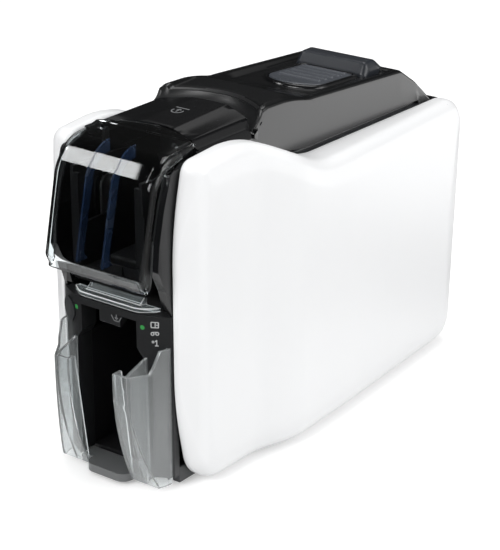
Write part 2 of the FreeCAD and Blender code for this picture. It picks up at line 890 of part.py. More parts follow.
# Top cover
cover_gap = 2.0             # reveal between the cover's lower edge and the side covers
cover_front_y = -75.0
crest_y = -26.0
crest_z = 246.7
shoulder_y = 2.0
shoulder_z = 238.2
ridge_y = 119.0
ridge_z = 229.8
slope_y = 140.0
slope_z = 216.4
crest_radius = 12.0
shoulder_radius = 40.0
ridge_radius = 8.0
slope_radius = 30.0
cover_low_z = 188.0
cover_tail_y = 146.0
barrel_degrees = 51.1       # where the rear slope meets the hinge barrel
barrel_turn = math.radians(barrel_degrees)
crown_side_z = 250.5
crown_corner = 12.0         # shoulder rounding at the crown's front, which fades out to its rear
crown_rear_z = 238.8
crown_top_z = 248.0
crown_front_y = -80.0
crown_rear_y = 6.0
scoop_low_z = 232.0
scoop_crest_y = -27.0
scoop_crest_side_y = -53.0
dish_x = 39.0
dish_front_y = -10.0
dish_front_z = 242.5
dish_low_y = 24.0
dish_low_z = 231.6
dish_rear_y = 112.0
dish_rear_z = 226.8
dish_bend_radius = 20.0

# Release button on the top cover
button_x = 22.5
button_rear_y = 90.0
button_side_y = 43.0
button_front_y = 33.5
button_corner_radius = 12.0
button_front_radius = 30.0
button_back_radius = 3.0
button_gap = 0.6
button_rim = 3.0
button_rim_height = 1.6
button_thick = 3.0
button_skirt = 3.5
button_travel = 3.0
button_front_rise = 2.6
button_rear_rise = 1.6
ridge_count = 5
ridge_width = 1.6
ridge_rise = 1.1
ridge_pitch = 8.0

# Raised block behind the button
block_x = 31.5
block_front_y = 91.5
block_edge_y = 96.0
block_back_y = 108.0
block_foot_y = 121.0
block_top_z = 238.0
block_edge_radius = 3.0
block_end_radius = 4.0

# Latch worked by the button
latch_y = 60.0
latch_z = 219.0
latch_shaft_radius = 2.5
latch_half_length = 41.0
hanger_x = 31.0
hanger_thick = 3.0
hanger_reach = 7.0
hanger_low_z = 214.0
hook_inner_x = 36.0
hook_thick = 3.0
hook_low_z = 190.0
hook_half = 2.5
hook_nose = 3.0
lever_x = 9.0
lever_front_y = 47.0
lever_thick = 2.2
striker_y = 52.3
striker_z = 193.5
striker_radius = 2.0

# Liner plate under the top cover
liner_plate_z = 207.0
liner_plate_thick = 2.5
liner_plate_x = 42.8
liner_plate_front = -38.0
liner_plate_rear = 138.0
liner_corner = 8.0
cover_post_radius = 4.0
cover_post_x = 38.5
cover_post_places = (-22.0, 126.0)

# Print head under the liner plate
head_x = 31.0
head_front_y = -5.0
head_rear_y = 9.0
head_top_z = 152.0
head_shoulder_z = 144.5
head_nose_half = 1.6
head_clear = 1.2
sink_front_y = -6.0
sink_rear_y = 10.0
sink_top_z = 166.0
fin_count = 5
fin_slot = 2.0
fin_depth = 8.0
web_front_y = 0.5
web_thick = 2.5
web_x = 28.0
foot_plate_front_y = -12.0
foot_plate_rear_y = 14.0
foot_plate_thick = 2.5


def cover_corners(inset):
    lean = inset * math.sqrt(2) / 2
    return [
        (cover_front_y, cover_low_z, 0),
        (cover_front_y, crest_z - inset, 0),
        (crest_y, crest_z - inset, crest_radius),
        (shoulder_y, shoulder_z - inset, shoulder_radius),
        (ridge_y - lean / 2, ridge_z - inset, ridge_radius),
        (slope_y - lean, slope_z - lean, slope_radius),
        (cover_hinge_y + cover_barrel_radius * math.cos(barrel_turn) - lean,
         cover_hinge_z + cover_barrel_radius * math.sin(barrel_turn) - lean, 0),
        (cover_hinge_y - inset * 2, cover_hinge_z - inset, 0),
        (cover_tail_y, cover_low_z, 0),
    ]


# Section of the crown: level or bowed top between rounded shoulders
def crown_wire(half, y, side_z, top_z, corner):
    bend = corner * (1 - math.sqrt(2) / 2)
    low_left = V(-half, y, cover_low_z - overrun)
    low_right = V(half, y, cover_low_z - overrun)
    left = V(-half, y, side_z - corner)
    right = V(half, y, side_z - corner)
    left_top = V(-half + corner, y, side_z)
    right_top = V(half - corner, y, side_z)
    edges = [
        Part.Arc(left, V(-half + bend, y, side_z - bend), left_top).toShape(),
        Part.Arc(left_top, V(0, y, top_z), right_top).toShape(),
        Part.Arc(right_top, V(half - bend, y, side_z - bend), right).toShape(),
        Part.LineSegment(right, low_right).toShape(),
        Part.LineSegment(low_right, low_left).toShape(),
        Part.LineSegment(low_left, left).toShape(),
    ]
    return Part.Wire(edges)


# Crowned limit of the cover's front half
def crown_body(inset):
    half = middle_x + overrun
    top_z = crown_top_z - inset
    wires = [
        crown_wire(half - inset, crown_front_y, crown_side_z - inset, top_z, crown_corner),
        crown_wire(half - inset, crown_rear_y, crown_rear_z - inset, top_z, overrun),
    ]
    front = Part.makeLoft(wires, True, True)
    rear = block(-half, half, crown_rear_y, cover_hinge_y + overrun * 4, cover_low_z - overrun,
                 crown_top_z)
    return front.fuse(rear)


# Space taken by the cap in front of the cover's lip
def scoop_wire(z, middle_y, side_y):
    half = middle_x + overrun
    front_y = cover_front_y - overrun * 2
    left = V(-half, side_y, z)
    right = V(half, side_y, z)
    middle = V(0, middle_y, z)
    edges = [
        Part.Arc(left, middle, right).toShape(),
        Part.LineSegment(right, V(half, front_y, z)).toShape(),
        Part.LineSegment(V(half, front_y, z), V(-half, front_y, z)).toShape(),
        Part.LineSegment(V(-half, front_y, z), left).toShape(),
    ]
    return Part.Wire(edges)


def scoop(shift):
    low_middle = cap_rear_y + gap + shift
    low_side = cap_rear_y - lip_scoop_depth * cap_round_share + gap + shift
    low = scoop_wire(cover_low_z - overrun, low_middle, low_side)
    upright = Part.Face(low).extrude(V(0, 0, scoop_low_z - cover_low_z + overrun))
    bottom = scoop_wire(scoop_low_z, low_middle, low_side)
    top = scoop_wire(crest_z + overrun, scoop_crest_y + shift, scoop_crest_side_y + shift)
    slant = Part.makeLoft([bottom, top], True, True)
    return upright.fuse(slant)


def dish(drop):
    corners = [
        (dish_front_y - drop, dish_front_z - drop, 0),
        (dish_low_y - drop / 2, dish_low_z - drop, dish_bend_radius),
        (dish_rear_y + drop, dish_rear_z - drop, 0),
        (dish_rear_y + drop, crown_top_z + overrun, 0),
        (dish_front_y - drop, crown_top_z + overrun, 0),
    ]
    return side_prism(corners, -dish_x - drop, dish_x + drop)


def button_corners(grow):
    return [
        (-button_x - grow, button_rear_y + grow, button_back_radius),
        (-button_x - grow, button_side_y - grow, button_corner_radius),
        (0, button_front_y - grow, button_front_radius),
        (button_x + grow, button_side_y - grow, button_corner_radius),
        (button_x + grow, button_rear_y + grow, button_back_radius),
    ]


# Height of the dish floor at a place along the cover
def dish_floor(y):
    fall = (dish_rear_z - dish_low_z) / (dish_rear_y - dish_low_y)
    return dish_low_z + fall * (y - dish_low_y)


def rear_block():
    corners = [
        (block_front_y, dish_floor(block_front_y) - wall, 0),
        (block_front_y, dish_floor(block_front_y), 0),
        (block_edge_y, block_top_z, block_edge_radius),
        (block_back_y, block_top_z, block_edge_radius * 2),
        (block_foot_y, ridge_z - wall, 0),
        (block_foot_y, dish_rear_z - wall, 0),
    ]
    body = side_prism(corners, -block_x, block_x)
    plan = [
        (-block_x, block_front_y, block_end_radius),
        (block_x, block_front_y, block_end_radius),
        (block_x, block_foot_y, block_end_radius),
        (-block_x, block_foot_y, block_end_radius),
    ]
    return body.common(plan_prism(plan, dish_rear_z - wall * 2, block_top_z + overrun))


def top_cover():
    outer = side_prism(cover_corners(0), -middle_x, middle_x).common(crown_body(0))
    outer = outer.cut([scoop(0), dish(0)])
    inner = side_prism(cover_corners(wall), -middle_x + wall, middle_x - wall).common(crown_body(wall))
    below = block(-middle_x + wall, middle_x - wall, cover_front_y, cover_tail_y,
                  cover_low_z - overrun, cover_low_z + overrun)
    inner = inner.fuse(below).cut([scoop(wall), dish(wall)])
    shell = outer.cut(inner)
    profile = Part.Face(outline_wire(side_corners(), on_side)).makeOffset2D(cover_gap)
    profile.translate(V(-middle_x - overrun, 0, 0))
    below_gap = profile.extrude(V((middle_x + overrun) * 2, 0, 0))
    front_part = block(-middle_x - overrun, middle_x + overrun, cover_front_y - overrun, cover_tail_y,
                       0, crown_top_z)
    shell = shell.cut(below_gap.common(front_part))
    rim = plan_prism(button_corners(button_gap + button_rim), dish_rear_z - wall, crest_z)
    low_y = button_front_y - button_rim * 2
    high_y = button_rear_y + button_rim * 2
    rim_top = side_prism([
        (low_y, dish_floor(button_front_y) - wall, 0),
        (low_y, dish_floor(low_y) + button_rim_height, 0),
        (high_y, dish_floor(high_y) + button_rim_height, 0),
        (high_y, dish_floor(button_rear_y) - wall, 0),
    ], -dish_x, dish_x)
    hangers = []
    for side in (-1, 1):
        low = min(side * hanger_x, side * (hanger_x + hanger_thick))
        hangers.append(block(low, low + hanger_thick, latch_y - hanger_reach, latch_y + hanger_reach,
                             hanger_low_z, dish_floor(latch_y) - wall / 2))
    posts = []
    for side in (-1, 1):
        for y in cover_post_places:
            post = rod_z(cover_post_radius, liner_plate_z + liner_plate_thick, crown_top_z,
                         side * cover_post_x, y)
            posts.append(post.common(outer))
    barrel = rod_x(cover_barrel_radius, -middle_x, middle_x, cover_hinge_y, cover_hinge_z)
    shell = shell.fuse([rim.common(rim_top), rear_block(), barrel] + hangers + posts)
    well = plan_prism(button_corners(button_gap), dish_rear_z - wall * 3, crest_z + overrun)
    cuts = [well, rod_x(latch_shaft_radius + running_gap, -middle_x + wall, middle_x - wall, latch_y,
                        latch_z)]
    for side in (-1, 1):
        inner_x = side * (middle_x - cover_pin_length / 2)
        outer_x = side * (middle_x + overrun)
        cuts.append(rod_x(cover_pin_radius + running_gap, min(inner_x, outer_x), max(inner_x, outer_x),
                          cover_hinge_y, cover_hinge_z))
    return shell.cut(cuts)


save("top_cover", top_cover())


def cover_hinge_pins():
    pins = []
    for side in (-1, 1):
        inner_x = side * (middle_x - cover_pin_length / 2 + gap)
        outer_x = side * (seam_x + cover_pin_length)
        pins.append(rod_x(cover_pin_radius, min(inner_x, outer_x), max(inner_x, outer_x),
                          cover_hinge_y, cover_hinge_z))
    return Part.makeCompound(pins)


save("cover_hinge_pins", cover_hinge_pins())


plunger_half = 3.0
plunger_thick = 4.0
plunger_slope = 1.6         # rise of the plunger's foot towards the rear, over the lever


def release_button():
    body = plan_prism(button_corners(0), dish_rear_z - button_skirt, crest_z)
    front_z = dish_floor(button_front_y) + button_front_rise
    rear_z = dish_floor(button_rear_y) + button_rear_rise
    profile = [
        (button_front_y - overrun, front_z - button_thick - button_skirt, 0),
        (button_front_y - overrun, front_z, 0),
        (button_rear_y + overrun, rear_z, 0),
        (button_rear_y + overrun, rear_z - button_thick - button_skirt, 0),
    ]
    pad = body.common(side_prism(profile, -button_x, button_x))
    room = plan_prism(button_corners(-wall / 2), 0, crest_z)
    under = [
        (button_front_y, front_z - button_thick - button_skirt - overrun, 0),
        (button_front_y, front_z - button_thick, 0),
        (button_rear_y, rear_z - button_thick, 0),
        (button_rear_y, rear_z - button_thick - button_skirt - overrun, 0),
    ]
    pad = pad.cut(room.common(side_prism(under, -button_x, button_x)))
    plunger_low = latch_z + latch_shaft_radius + free_gap
    plunger = side_prism([
        (lever_front_y, plunger_low, 0),
        (lever_front_y, rear_z - wall / 2, 0),
        (lever_front_y + plunger_thick, rear_z - wall / 2, 0),
        (lever_front_y + plunger_thick, plunger_low + plunger_slope, 0),
    ], -plunger_half, plunger_half)
    ridges = [plunger]
    for index in range(ridge_count):
        y = button_rear_y - ridge_pitch * (index + 1) + ridge_pitch / 2
        z = rear_z + (front_z - rear_z) * (button_rear_y - y) / (button_rear_y - button_front_y)
        corners = [
            (y - ridge_width, z - wall / 2, 0),
            (y - ridge_width, z, 0),
            (y, z + ridge_rise, ridge_rise / 2),
            (y + ridge_width, z, 0),
            (y + ridge_width, z - wall / 2, 0),
        ]
        ridges.append(side_prism(corners, -button_x + button_rim, button_x - button_rim))
    return joined([pad] + ridges)


save("release_button", release_button())


def cover_latch():
    shaft = rod_x(latch_shaft_radius, -latch_half_length, latch_half_length, latch_y, latch_z)
    pieces = [shaft]
    for side in (-1, 1):
        low = min(side * hook_inner_x, side * (hook_inner_x + hook_thick))
        corners = [
            (latch_y - hook_half, latch_z + hook_half, hook_half / 2),
            (latch_y + hook_half, latch_z + hook_half, hook_half / 2),
            (latch_y + hook_half, hook_low_z, hook_half / 2),
            (latch_y - hook_half - hook_nose / 2, hook_low_z, hook_half / 4),
            (latch_y - hook_half, hook_low_z + hook_nose, 0),
        ]
        pieces.append(side_prism(corners, low, low + hook_thick))
    lever = [
        (latch_y, latch_z, 0),
        (lever_front_y, latch_z + latch_shaft_radius - lever_thick, 0),
        (lever_front_y, latch_z + latch_shaft_radius, 0),
        (latch_y, latch_z + latch_shaft_radius, 0),
    ]
    pieces.append(side_prism(lever, -lever_x, lever_x))
    return joined(pieces)


save("cover_latch", cover_latch())


def cover_liner():
    corners = [
        (-liner_plate_x, liner_plate_front, liner_corner),
        (liner_plate_x, liner_plate_front, liner_corner),
        (liner_plate_x, liner_plate_rear, liner_corner),
        (-liner_plate_x, liner_plate_rear, liner_corner),
    ]
    plate = plan_prism(corners, liner_plate_z, liner_plate_z + liner_plate_thick)
    slots = []
    swing = (latch_z - hook_low_z) * button_travel / (latch_y - lever_front_y)
    for side in (-1, 1):
        low = min(side * hook_inner_x, side * (hook_inner_x + hook_thick))
        slots.append(block(low - gap, low + hook_thick + gap, latch_y - hook_half - hook_nose - gap,
                           latch_y + hook_half + swing, liner_plate_z - overrun,
                           liner_plate_z + liner_plate_thick + overrun))
    return plate.cut(slots)


save("cover_liner", cover_liner())

# Coil spring under the release button
spring_y = 78.0
spring_radius = 4.0
spring_wire = 0.6
spring_turns = 4
spring_sides = 6            # flats of the spring's wire


def button_spring():
    low = liner_plate_z + liner_plate_thick
    share = (button_rear_y - spring_y) / (button_rear_y - button_front_y)
    rear_z = dish_floor(button_rear_y) + button_rear_rise
    front_z = dish_floor(button_front_y) + button_front_rise
    high = rear_z + (front_z - rear_z) * share - button_thick
    height = high - low - spring_wire * 2
    helix = Part.makeHelix(height / spring_turns, height, spring_radius)
    turns = [math.radians(360 / spring_sides * index) for index in range(spring_sides + 1)]
    section = Part.makePolygon([V(spring_radius + spring_wire * math.cos(turn), 0,
                                  spring_wire * math.sin(turn))
                                for turn in turns])
    coil = Part.Wire(helix.Edges).makePipeShell([section], True, True)
    coil.translate(V(0, spring_y, low + spring_wire))
    return coil


save("button_spring", button_spring())


def print_head():
    low = path_z + head_clear
    corners = [
        (head_front_y, head_top_z, 0),
        (head_front_y, head_shoulder_z, 0),
        (-head_nose_half, low, 0),
        (head_nose_half, low, 0),
        (head_rear_y, head_shoulder_z + wall, 0),
        (head_rear_y, head_top_z, 0),
    ]
    return side_prism(corners, -head_x, head_x)


save("print_head", print_head())


def head_bracket():
    sink = block(-web_x, web_x, sink_front_y, sink_rear_y, head_top_z, sink_top_z)
    pitch = (web_x * 2) / (fin_count + 1)
    slots = []
    for index in range(fin_count):
        x = -web_x + pitch * (index + 1)
        for low, high in ((sink_front_y - overrun, sink_front_y + fin_depth / 2),
                          (sink_rear_y - fin_depth / 2, sink_rear_y + overrun)):
            slots.append(block(x - fin_slot / 2, x + fin_slot / 2, low, high, head_top_z + wall,
                               sink_top_z + overrun))
    sink = sink.cut(slots)
    web = block(-web_x, web_x, web_front_y, web_front_y + web_thick, head_top_z, liner_plate_z)
    window = [
        (-web_x + wall * 2, sink_top_z + wall * 2, wall * 2),
        (-web_x + wall * 2, liner_plate_z - wall * 4, wall * 2),
        (web_x - wall * 2, liner_plate_z - wall * 4, wall * 2),
        (web_x - wall * 2, sink_top_z + wall * 2, wall * 2),
    ]
    web = web.cut(front_prism(window, web_front_y - overrun, web_front_y + web_thick + overrun))
    foot = block(-web_x, web_x, foot_plate_front_y, foot_plate_rear_y,
                 liner_plate_z - foot_plate_thick, liner_plate_z)
    return joined([sink, web, foot])


save("print_head_bracket", head_bracket())

# Steel frame plates with their cross bars
plate_front = -118.0
plate_rear = 146.0
plate_top_front = 196.0
plate_top_rear = 202.0
plate_step_y = -56.0
plate_corner = 8.0
plate_notch_y = 142.0
plate_notch_z = 184.0
bush_radius = 5.0
bush_bore_radius = shaft_radius + running_gap
bush_length = 3.5
idler_stud_radius = 2.5
bar_radius = 4.0
bar_places = ((-60.0, 30.0), (50.0, 30.0), (60.0, 105.0), (128.0, 186.0))
roller_pitch = gear_module * (roller_teeth + idler_teeth)
pick_pitch = gear_module * (roller_teeth + link_teeth)
motor_drop = gear_module * (idler_teeth + pinion_teeth) / 2
exit_reach = gear_module * roller_teeth
exit_drop = 22.5
exit_back = math.sqrt(exit_reach ** 2 - exit_drop ** 2)
platen_y = 0.0
front_roller_y = platen_y - roller_pitch
rear_roller_y = platen_y + roller_pitch
pick_roller_y = front_roller_y - pick_pitch
exit_roller_y = pick_roller_y - exit_back
exit_roller_z = roller_axis_z - exit_drop
front_idler_y = (platen_y + front_roller_y) / 2
rear_idler_y = (platen_y + rear_roller_y) / 2
link_y = (front_roller_y + pick_roller_y) / 2
motor_y = rear_idler_y
motor_z = roller_axis_z - motor_drop
nip_gap = 0.5
pinch_radius = 6.0
pinch_z = path_z + nip_gap + pinch_radius
pinch_shaft_radius = 2.0
motor_hole_radius = 8.0

shaft_places = (
    (pick_roller_y, roller_axis_z),
    (front_roller_y, roller_axis_z),
    (platen_y, roller_axis_z),
    (rear_roller_y, roller_axis_z),
    (exit_roller_y, exit_roller_z),
)
pinch_places = (front_roller_y, rear_roller_y)
stud_places = ((front_idler_y, idler_teeth), (rear_idler_y, idler_teeth), (link_y, link_teeth))


def frame_plate(side):
    corners = [
        (plate_front, tray_z + tray_floor, 0),
        (plate_front, plate_top_front, plate_corner),
        (plate_step_y - plate_corner, plate_top_front, plate_corner / 2),
        (plate_step_y, plate_top_rear, plate_corner / 2),
        (plate_notch_y, plate_top_rear, plate_corner / 2),
        (plate_notch_y, plate_notch_z, 0),
        (plate_rear, plate_notch_z, plate_corner / 4),
        (plate_rear, tray_z + tray_floor, 0),
    ]
    low = min(side * plate_inner_x, side * plate_x)
    high = max(side * plate_inner_x, side * plate_x)
    plate = side_prism(corners, low, high)
    striker_near = side * (hook_inner_x - gap)
    striker_far = side * plate_inner_x
    striker = rod_x(striker_radius, min(striker_near, striker_far), max(striker_near, striker_far),
                    striker_y, striker_z)
    plate = plate.fuse(striker)
    cuts = []
    for y, z in shaft_places:
        cuts.append(rod_x(bush_radius, low - overrun, high + overrun, y, z))
    for y in pinch_places:
        cuts.append(rod_x(pinch_shaft_radius + running_gap, low - overrun, high + overrun, y, pinch_z))
    for share in post_shares:
        cuts.append(rod_x(post_hole_radius, low - overrun, high + overrun, share_y(share[0]),
                          share_z(share[1])))
    if side < 0:
        for y, teeth in stud_places:
            cuts.append(rod_x(idler_stud_radius, low - overrun, high + overrun, y, roller_axis_z))
        cuts.append(rod_x(motor_hole_radius, low - overrun, high + overrun, motor_y, motor_z))
    return plate.cut(cuts)


save("left_frame_plate", frame_plate(-1))
save("right_frame_plate", frame_plate(1))


def frame_bars():
    return Part.makeCompound([rod_x(bar_radius, -plate_inner_x, plate_inner_x, y, z) for y,
                              z in bar_places])


save("frame_bars", frame_bars())


def shaft_bushes():
    bushes = []
    for side in (-1, 1):
        middle = side * (plate_x - plate_thick / 2)
        for y, z in shaft_places:
            ring = rod_x(bush_radius, middle - bush_length / 2, middle + bush_length / 2, y, z)
            bore = rod_x(bush_bore_radius, middle - bush_length, middle + bush_length, y, z)
            bushes.append(ring.cut(bore))
    return Part.makeCompound(bushes)


save("shaft_bushes", shaft_bushes())

# Screws that hold the side covers to the frame plates
screw_head_radius = 2.8
screw_head_height = 1.8
screw_drive_radius = 1.1


def cover_screws():
    screws = []
    for side in (-1, 1):
        for share in post_shares:
            y = share_y(share[0])
            z = share_z(share[1])
            head_x_far = plate_inner_x - screw_head_height
            head = rod_x(screw_head_radius, head_x_far, plate_inner_x, y, z)
            shank = rod_x(post_hole_radius, plate_inner_x, plate_x + post_depth - overrun, y, z)
            drive = rod_x(screw_drive_radius, head_x_far - overrun, head_x_far + screw_head_height / 2,
                          y, z)
            screw = head.fuse(shank).cut(drive)
            screws.append(mirrored(screw) if side < 0 else screw)
    return Part.makeCompound(screws)


save("cover_screws", cover_screws())

# Sills that close the reveal under the top cover
sill_low_share = 0.5
sill_x = plate_x
sill_drop = 1.0
sill_depth = 9.0
sill_front_y = -46.0
sill_rear_y = 144.0


def cover_sills():
    profile = Part.Face(outline_wire(side_corners(), on_side))
    strip = profile.makeOffset2D(-sill_drop).cut(profile.makeOffset2D(-sill_depth))
    strip.translate(V(sill_x, 0, 0))
    ring = strip.extrude(V(middle_x - sill_x, 0, 0))
    keep = block(sill_x - overrun, middle_x + overrun, sill_front_y, sill_rear_y,
                 share_z(sill_low_share), crest_z)
    sill = ring.common(keep)
    return Part.makeCompound([sill, mirrored(sill)])


save("cover_sills", cover_sills())

# Rear cover with its sockets and vents
inlet_x = 29.0
inlet_z = 40.0
inlet_size = 13.0
inlet_hole_radius = 4.0
inlet_pin_radius = 1.2
usb_z = 74.0
usb_width = 12.0
usb_height = 11.0
usb_wall = 1.0
usb_tongue = 3.0
socket_clear = 6.5          # free depth in front of a socket's pin or tongue
socket_depth = 14.0
socket_front_y = 156.0
vent_count = 7
vent_width = 3.0
vent_height = 34.0
vent_pitch = 7.5
vent_z = 122.0
vent_middle_x = 0.0


def rear_cover():
    profile = Part.Face(outline_wire(side_corners(), on_side))
    ring = profile.cut(profile.makeOffset2D(-wall))
    ring.translate(V(-middle_x, 0, 0))
    wrap = ring.extrude(V(middle_x * 2, 0, 0))
    keep = block(-middle_x - overrun, middle_x + overrun, tray_rear, share_y(rear_share), tray_z,
                 crest_z)
    panel = wrap.common(keep)
    far = share_y(rear_share)
    holes = [
        block(inlet_x - inlet_size / 2, inlet_x + inlet_size / 2, tray_rear, far,
              inlet_z - inlet_size / 2, inlet_z + inlet_size / 2),
        block(inlet_x - usb_width / 2 - usb_wall, inlet_x + usb_width / 2 + usb_wall, tray_rear, far,
              usb_z - usb_height / 2 - usb_wall, usb_z + usb_height / 2 + usb_wall),
    ]
    for index in range(vent_count):
        x = vent_middle_x + (index - (vent_count - 1) / 2) * vent_pitch
        holes.append(block(x - vent_width / 2, x + vent_width / 2, tray_rear, far,
                           vent_z - vent_height / 2, vent_z + vent_height / 2))
    return panel.cut(holes)


save("rear_cover", rear_cover())

# Circuit board with the sockets on it
board_x = 36.0
board_thick = 1.6
board_front_y = 74.0
board_rear_y = 164.0
board_low_z = 16.0
board_high_z = 122.0
chip_places = ((98.0, 60.0, 9.0), (126.0, 92.0, 7.0), (96.0, 98.0, 5.0))
chip_height = 1.8
can_radius = 4.0
can_height = 9.0
can_places = ((120.0, 34.0), (132.0, 34.0))
board_strut_radius = 3.0
board_strut_places = ((82.0, 24.0), (82.0, 114.0), (156.0, 114.0), (150.0, 22.0))


def circuit_board():
    board = block(board_x, board_x + board_thick, board_front_y, board_rear_y, board_low_z,
                  board_high_z)
    pieces = [board]
    for y, z, half in chip_places:
        pieces.append(block(board_x - chip_height, board_x, y - half, y + half, z - half, z + half))
    for y, z in can_places:
        pieces.append(rod_x(can_radius, board_x - can_height, board_x, y, z))
    for y, z in board_strut_places:
        strut_rear = min(y, plate_rear - board_strut_radius)
        pieces.append(rod_x(board_strut_radius, board_x, plate_inner_x, strut_rear, z))
    return joined(pieces)


save("circuit_board", circuit_board())


def socket_rear_y(z):
    heel = V(0, share_y(heel_share[0]), share_z(heel_share[1]))
    tail = V(0, share_y(tail_share[0]), share_z(tail_share[1]))
    return heel.y + (tail.y - heel.y) * (z - heel.z) / (tail.z - heel.z) - wall / 2


def power_inlet():
    rear = socket_rear_y(inlet_z)
    half = inlet_size / 2 - gap / 2
    body = block(inlet_x - half, board_x, socket_front_y, rear, inlet_z - half, inlet_z + half)
    body = body.common(block(inlet_x - half, inlet_x + half, socket_front_y, rear, inlet_z - half,
                             inlet_z + half)
                       .fuse(block(inlet_x, board_x, socket_front_y, board_rear_y, inlet_z - half,
                                   inlet_z + half)))
    bore = rod_y(inlet_hole_radius, rear - socket_depth, rear + overrun, inlet_x, inlet_z)
    pin = rod_y(inlet_pin_radius, rear - socket_depth - overrun, rear - socket_clear, inlet_x, inlet_z)
    return body.cut(bore).fuse(pin)


save("power_inlet", power_inlet())


def usb_socket():
    rear = socket_rear_y(usb_z)
    half_x = usb_width / 2 + usb_wall / 2
    half_z = usb_height / 2 + usb_wall / 2
    shell = block(inlet_x - half_x, inlet_x + half_x, socket_front_y, rear, usb_z - half_z,
                  usb_z + half_z)
    side = block(inlet_x, board_x, socket_front_y, board_rear_y, usb_z - half_z, usb_z + half_z)
    room = block(inlet_x - usb_width / 2 + usb_wall, inlet_x + usb_width / 2 - usb_wall,
                 rear - socket_depth,
                 rear + overrun, usb_z - usb_height / 2 + usb_wall, usb_z + usb_height / 2 - usb_wall)
    tongue = block(inlet_x - usb_tongue, inlet_x + usb_tongue, rear - socket_depth, rear - socket_clear,
                   usb_z - usb_tongue / 2, usb_z + usb_tongue / 2)
    return shell.fuse(side).cut(room).fuse(tongue)


save("usb_socket", usb_socket())

# Card hopper with its floor between the frame plates
hopper_rear = hopper_front + card_length + card_room * 3
hopper_wall = 2.5
hopper_in_x = card_width / 2 + card_room
hopper_drop = 20.0
hopper_top = cap_top_front_z - hopper_drop
ear_half = 2.3              # half width of the ear that holds the door's hinge pin
hopper_exit_height = 2.0
hopper_stop = 4.0
hopper_stop_low_z = 150.0
pick_tyre_x = 11.0
pick_radius = 10.5
hopper_window_front = -150.0
hopper_window_rear = -118.0
hopper_window_low = 176.0
hopper_window_high = 206.0
floor_lift = 2.0
hopper_floor_top = path_z + floor_lift
floor_thick = 2.5


def card_hopper():
    low = hopper_floor_top - floor_thick
    outer_x = hopper_in_x + hopper_wall
    walls = block(-outer_x, outer_x, hopper_front, hopper_rear + hopper_wall, low, hopper_top)
    room = block(-hopper_in_x, hopper_in_x, hopper_front - overrun, hopper_rear, hopper_floor_top,
                 hopper_top + overrun)
    floor = block(-plate_inner_x, plate_inner_x, plate_front, hopper_rear + hopper_wall, low,
                  hopper_floor_top)
    hopper = walls.cut(room).fuse(floor)
    stops = []
    for side in (-1, 1):
        far = side * hopper_in_x
        near = side * (hopper_in_x - hopper_stop)
        stops.append(block(min(far, near), max(far, near), hopper_front, hopper_front + hopper_wall,
                           hopper_stop_low_z, hopper_top - hopper_stop))
    ears = []
    pin_bores = []
    for side in (-1, 1):
        near = min(side * hopper_in_x, side * outer_x)
        far = max(side * hopper_in_x, side * outer_x)
        ears.append(block(near, far, door_hinge_y - ear_half, door_hinge_y + ear_half,
                          hopper_floor_top, door_hinge_z))
        ears.append(rod_x(ear_half, near, far, door_hinge_y, door_hinge_z))
        pin_bores.append(rod_x(door_pin_radius, min(side * (outer_x - door_pin_reach), side * outer_x),
                               max(side * (outer_x - door_pin_reach),
                                   side * outer_x), door_hinge_y, door_hinge_z))
    hopper = hopper.fuse(stops + ears).cut(pin_bores)
    tyre_room = pick_radius + hopper_wall
    window = [
        (hopper_window_front, hopper_window_low, hopper_wall),
        (hopper_window_front, hopper_window_high, hopper_wall),
        (hopper_window_rear, hopper_window_high, hopper_wall),
        (hopper_window_rear, hopper_window_low, hopper_wall),
    ]
    cuts = [
        block(-pick_tyre_x - hopper_wall, pick_tyre_x + hopper_wall, pick_roller_y - tyre_room,
              pick_roller_y + tyre_room, low - overrun, hopper_floor_top + overrun),
        block(-hopper_in_x, hopper_in_x, hopper_rear - overrun, hopper_rear + hopper_wall + overrun,
              hopper_floor_top, hopper_floor_top + hopper_exit_height),
        side_prism(window, -outer_x - overrun, outer_x + overrun),
    ]
    return hopper.cut(cuts).removeSplitter()


save("card_hopper", card_hopper())


def door_hinge_pins():
    pins = []
    for side in (-1, 1):
        inner_x = side * (hopper_in_x + hopper_wall - door_pin_reach)
        outer_x = side * (door_side_x - wall / 2 - gap)
        pins.append(rod_x(door_pin_radius, min(outer_x, inner_x), max(outer_x, inner_x), door_hinge_y,
                          door_hinge_z))
    return Part.makeCompound(pins)


save("door_hinge_pins", door_hinge_pins())

# Weight that presses the cards down
weight_room = 1.2
weight_x = hopper_in_x - weight_room
weight_plate = 3.0
weight_rise = 9.0
weight_block_x = 17.0
weight_block_front = -138.0
weight_block_rear = -96.0
weight_grip = 12.0


def card_weight():
    low = roller_axis_z + pick_radius + free_gap
    front = hopper_front + hopper_wall + hopper_wall / 2
    rear = hopper_rear - hopper_wall / 2
    plate = block(-weight_x, weight_x, front, rear, low, low + weight_plate)
    slab = [
        (weight_block_front, low + weight_plate / 2, 0),
        (weight_block_front, low + weight_rise, weight_plate),
        (weight_block_rear, low + weight_rise, weight_plate),
        (weight_block_rear, low + weight_plate / 2, 0),
    ]
    grip = [
        (front, low, 0),
        (front, low + weight_grip, 0),
        (front + weight_plate / 2, low + weight_grip, 0),
        (front + weight_plate, low + weight_plate, 0),
        (front + weight_plate, low, 0),
    ]
    return joined([plate, side_prism(slab, -weight_block_x, weight_block_x),
                   side_prism(grip, -weight_block_x / 2, weight_block_x / 2)])


save("card_weight", card_weight())

# Rollers
roller_half = 28.0
roller_radius = 8.0
shaft_right_x = 45.0
shaft_left_x = gear_inner_x + gear_width + gap * 2
flank_angle = math.radians(20)
tooth_thin = 0.80
addendum = 0.85
dedendum = 1.15


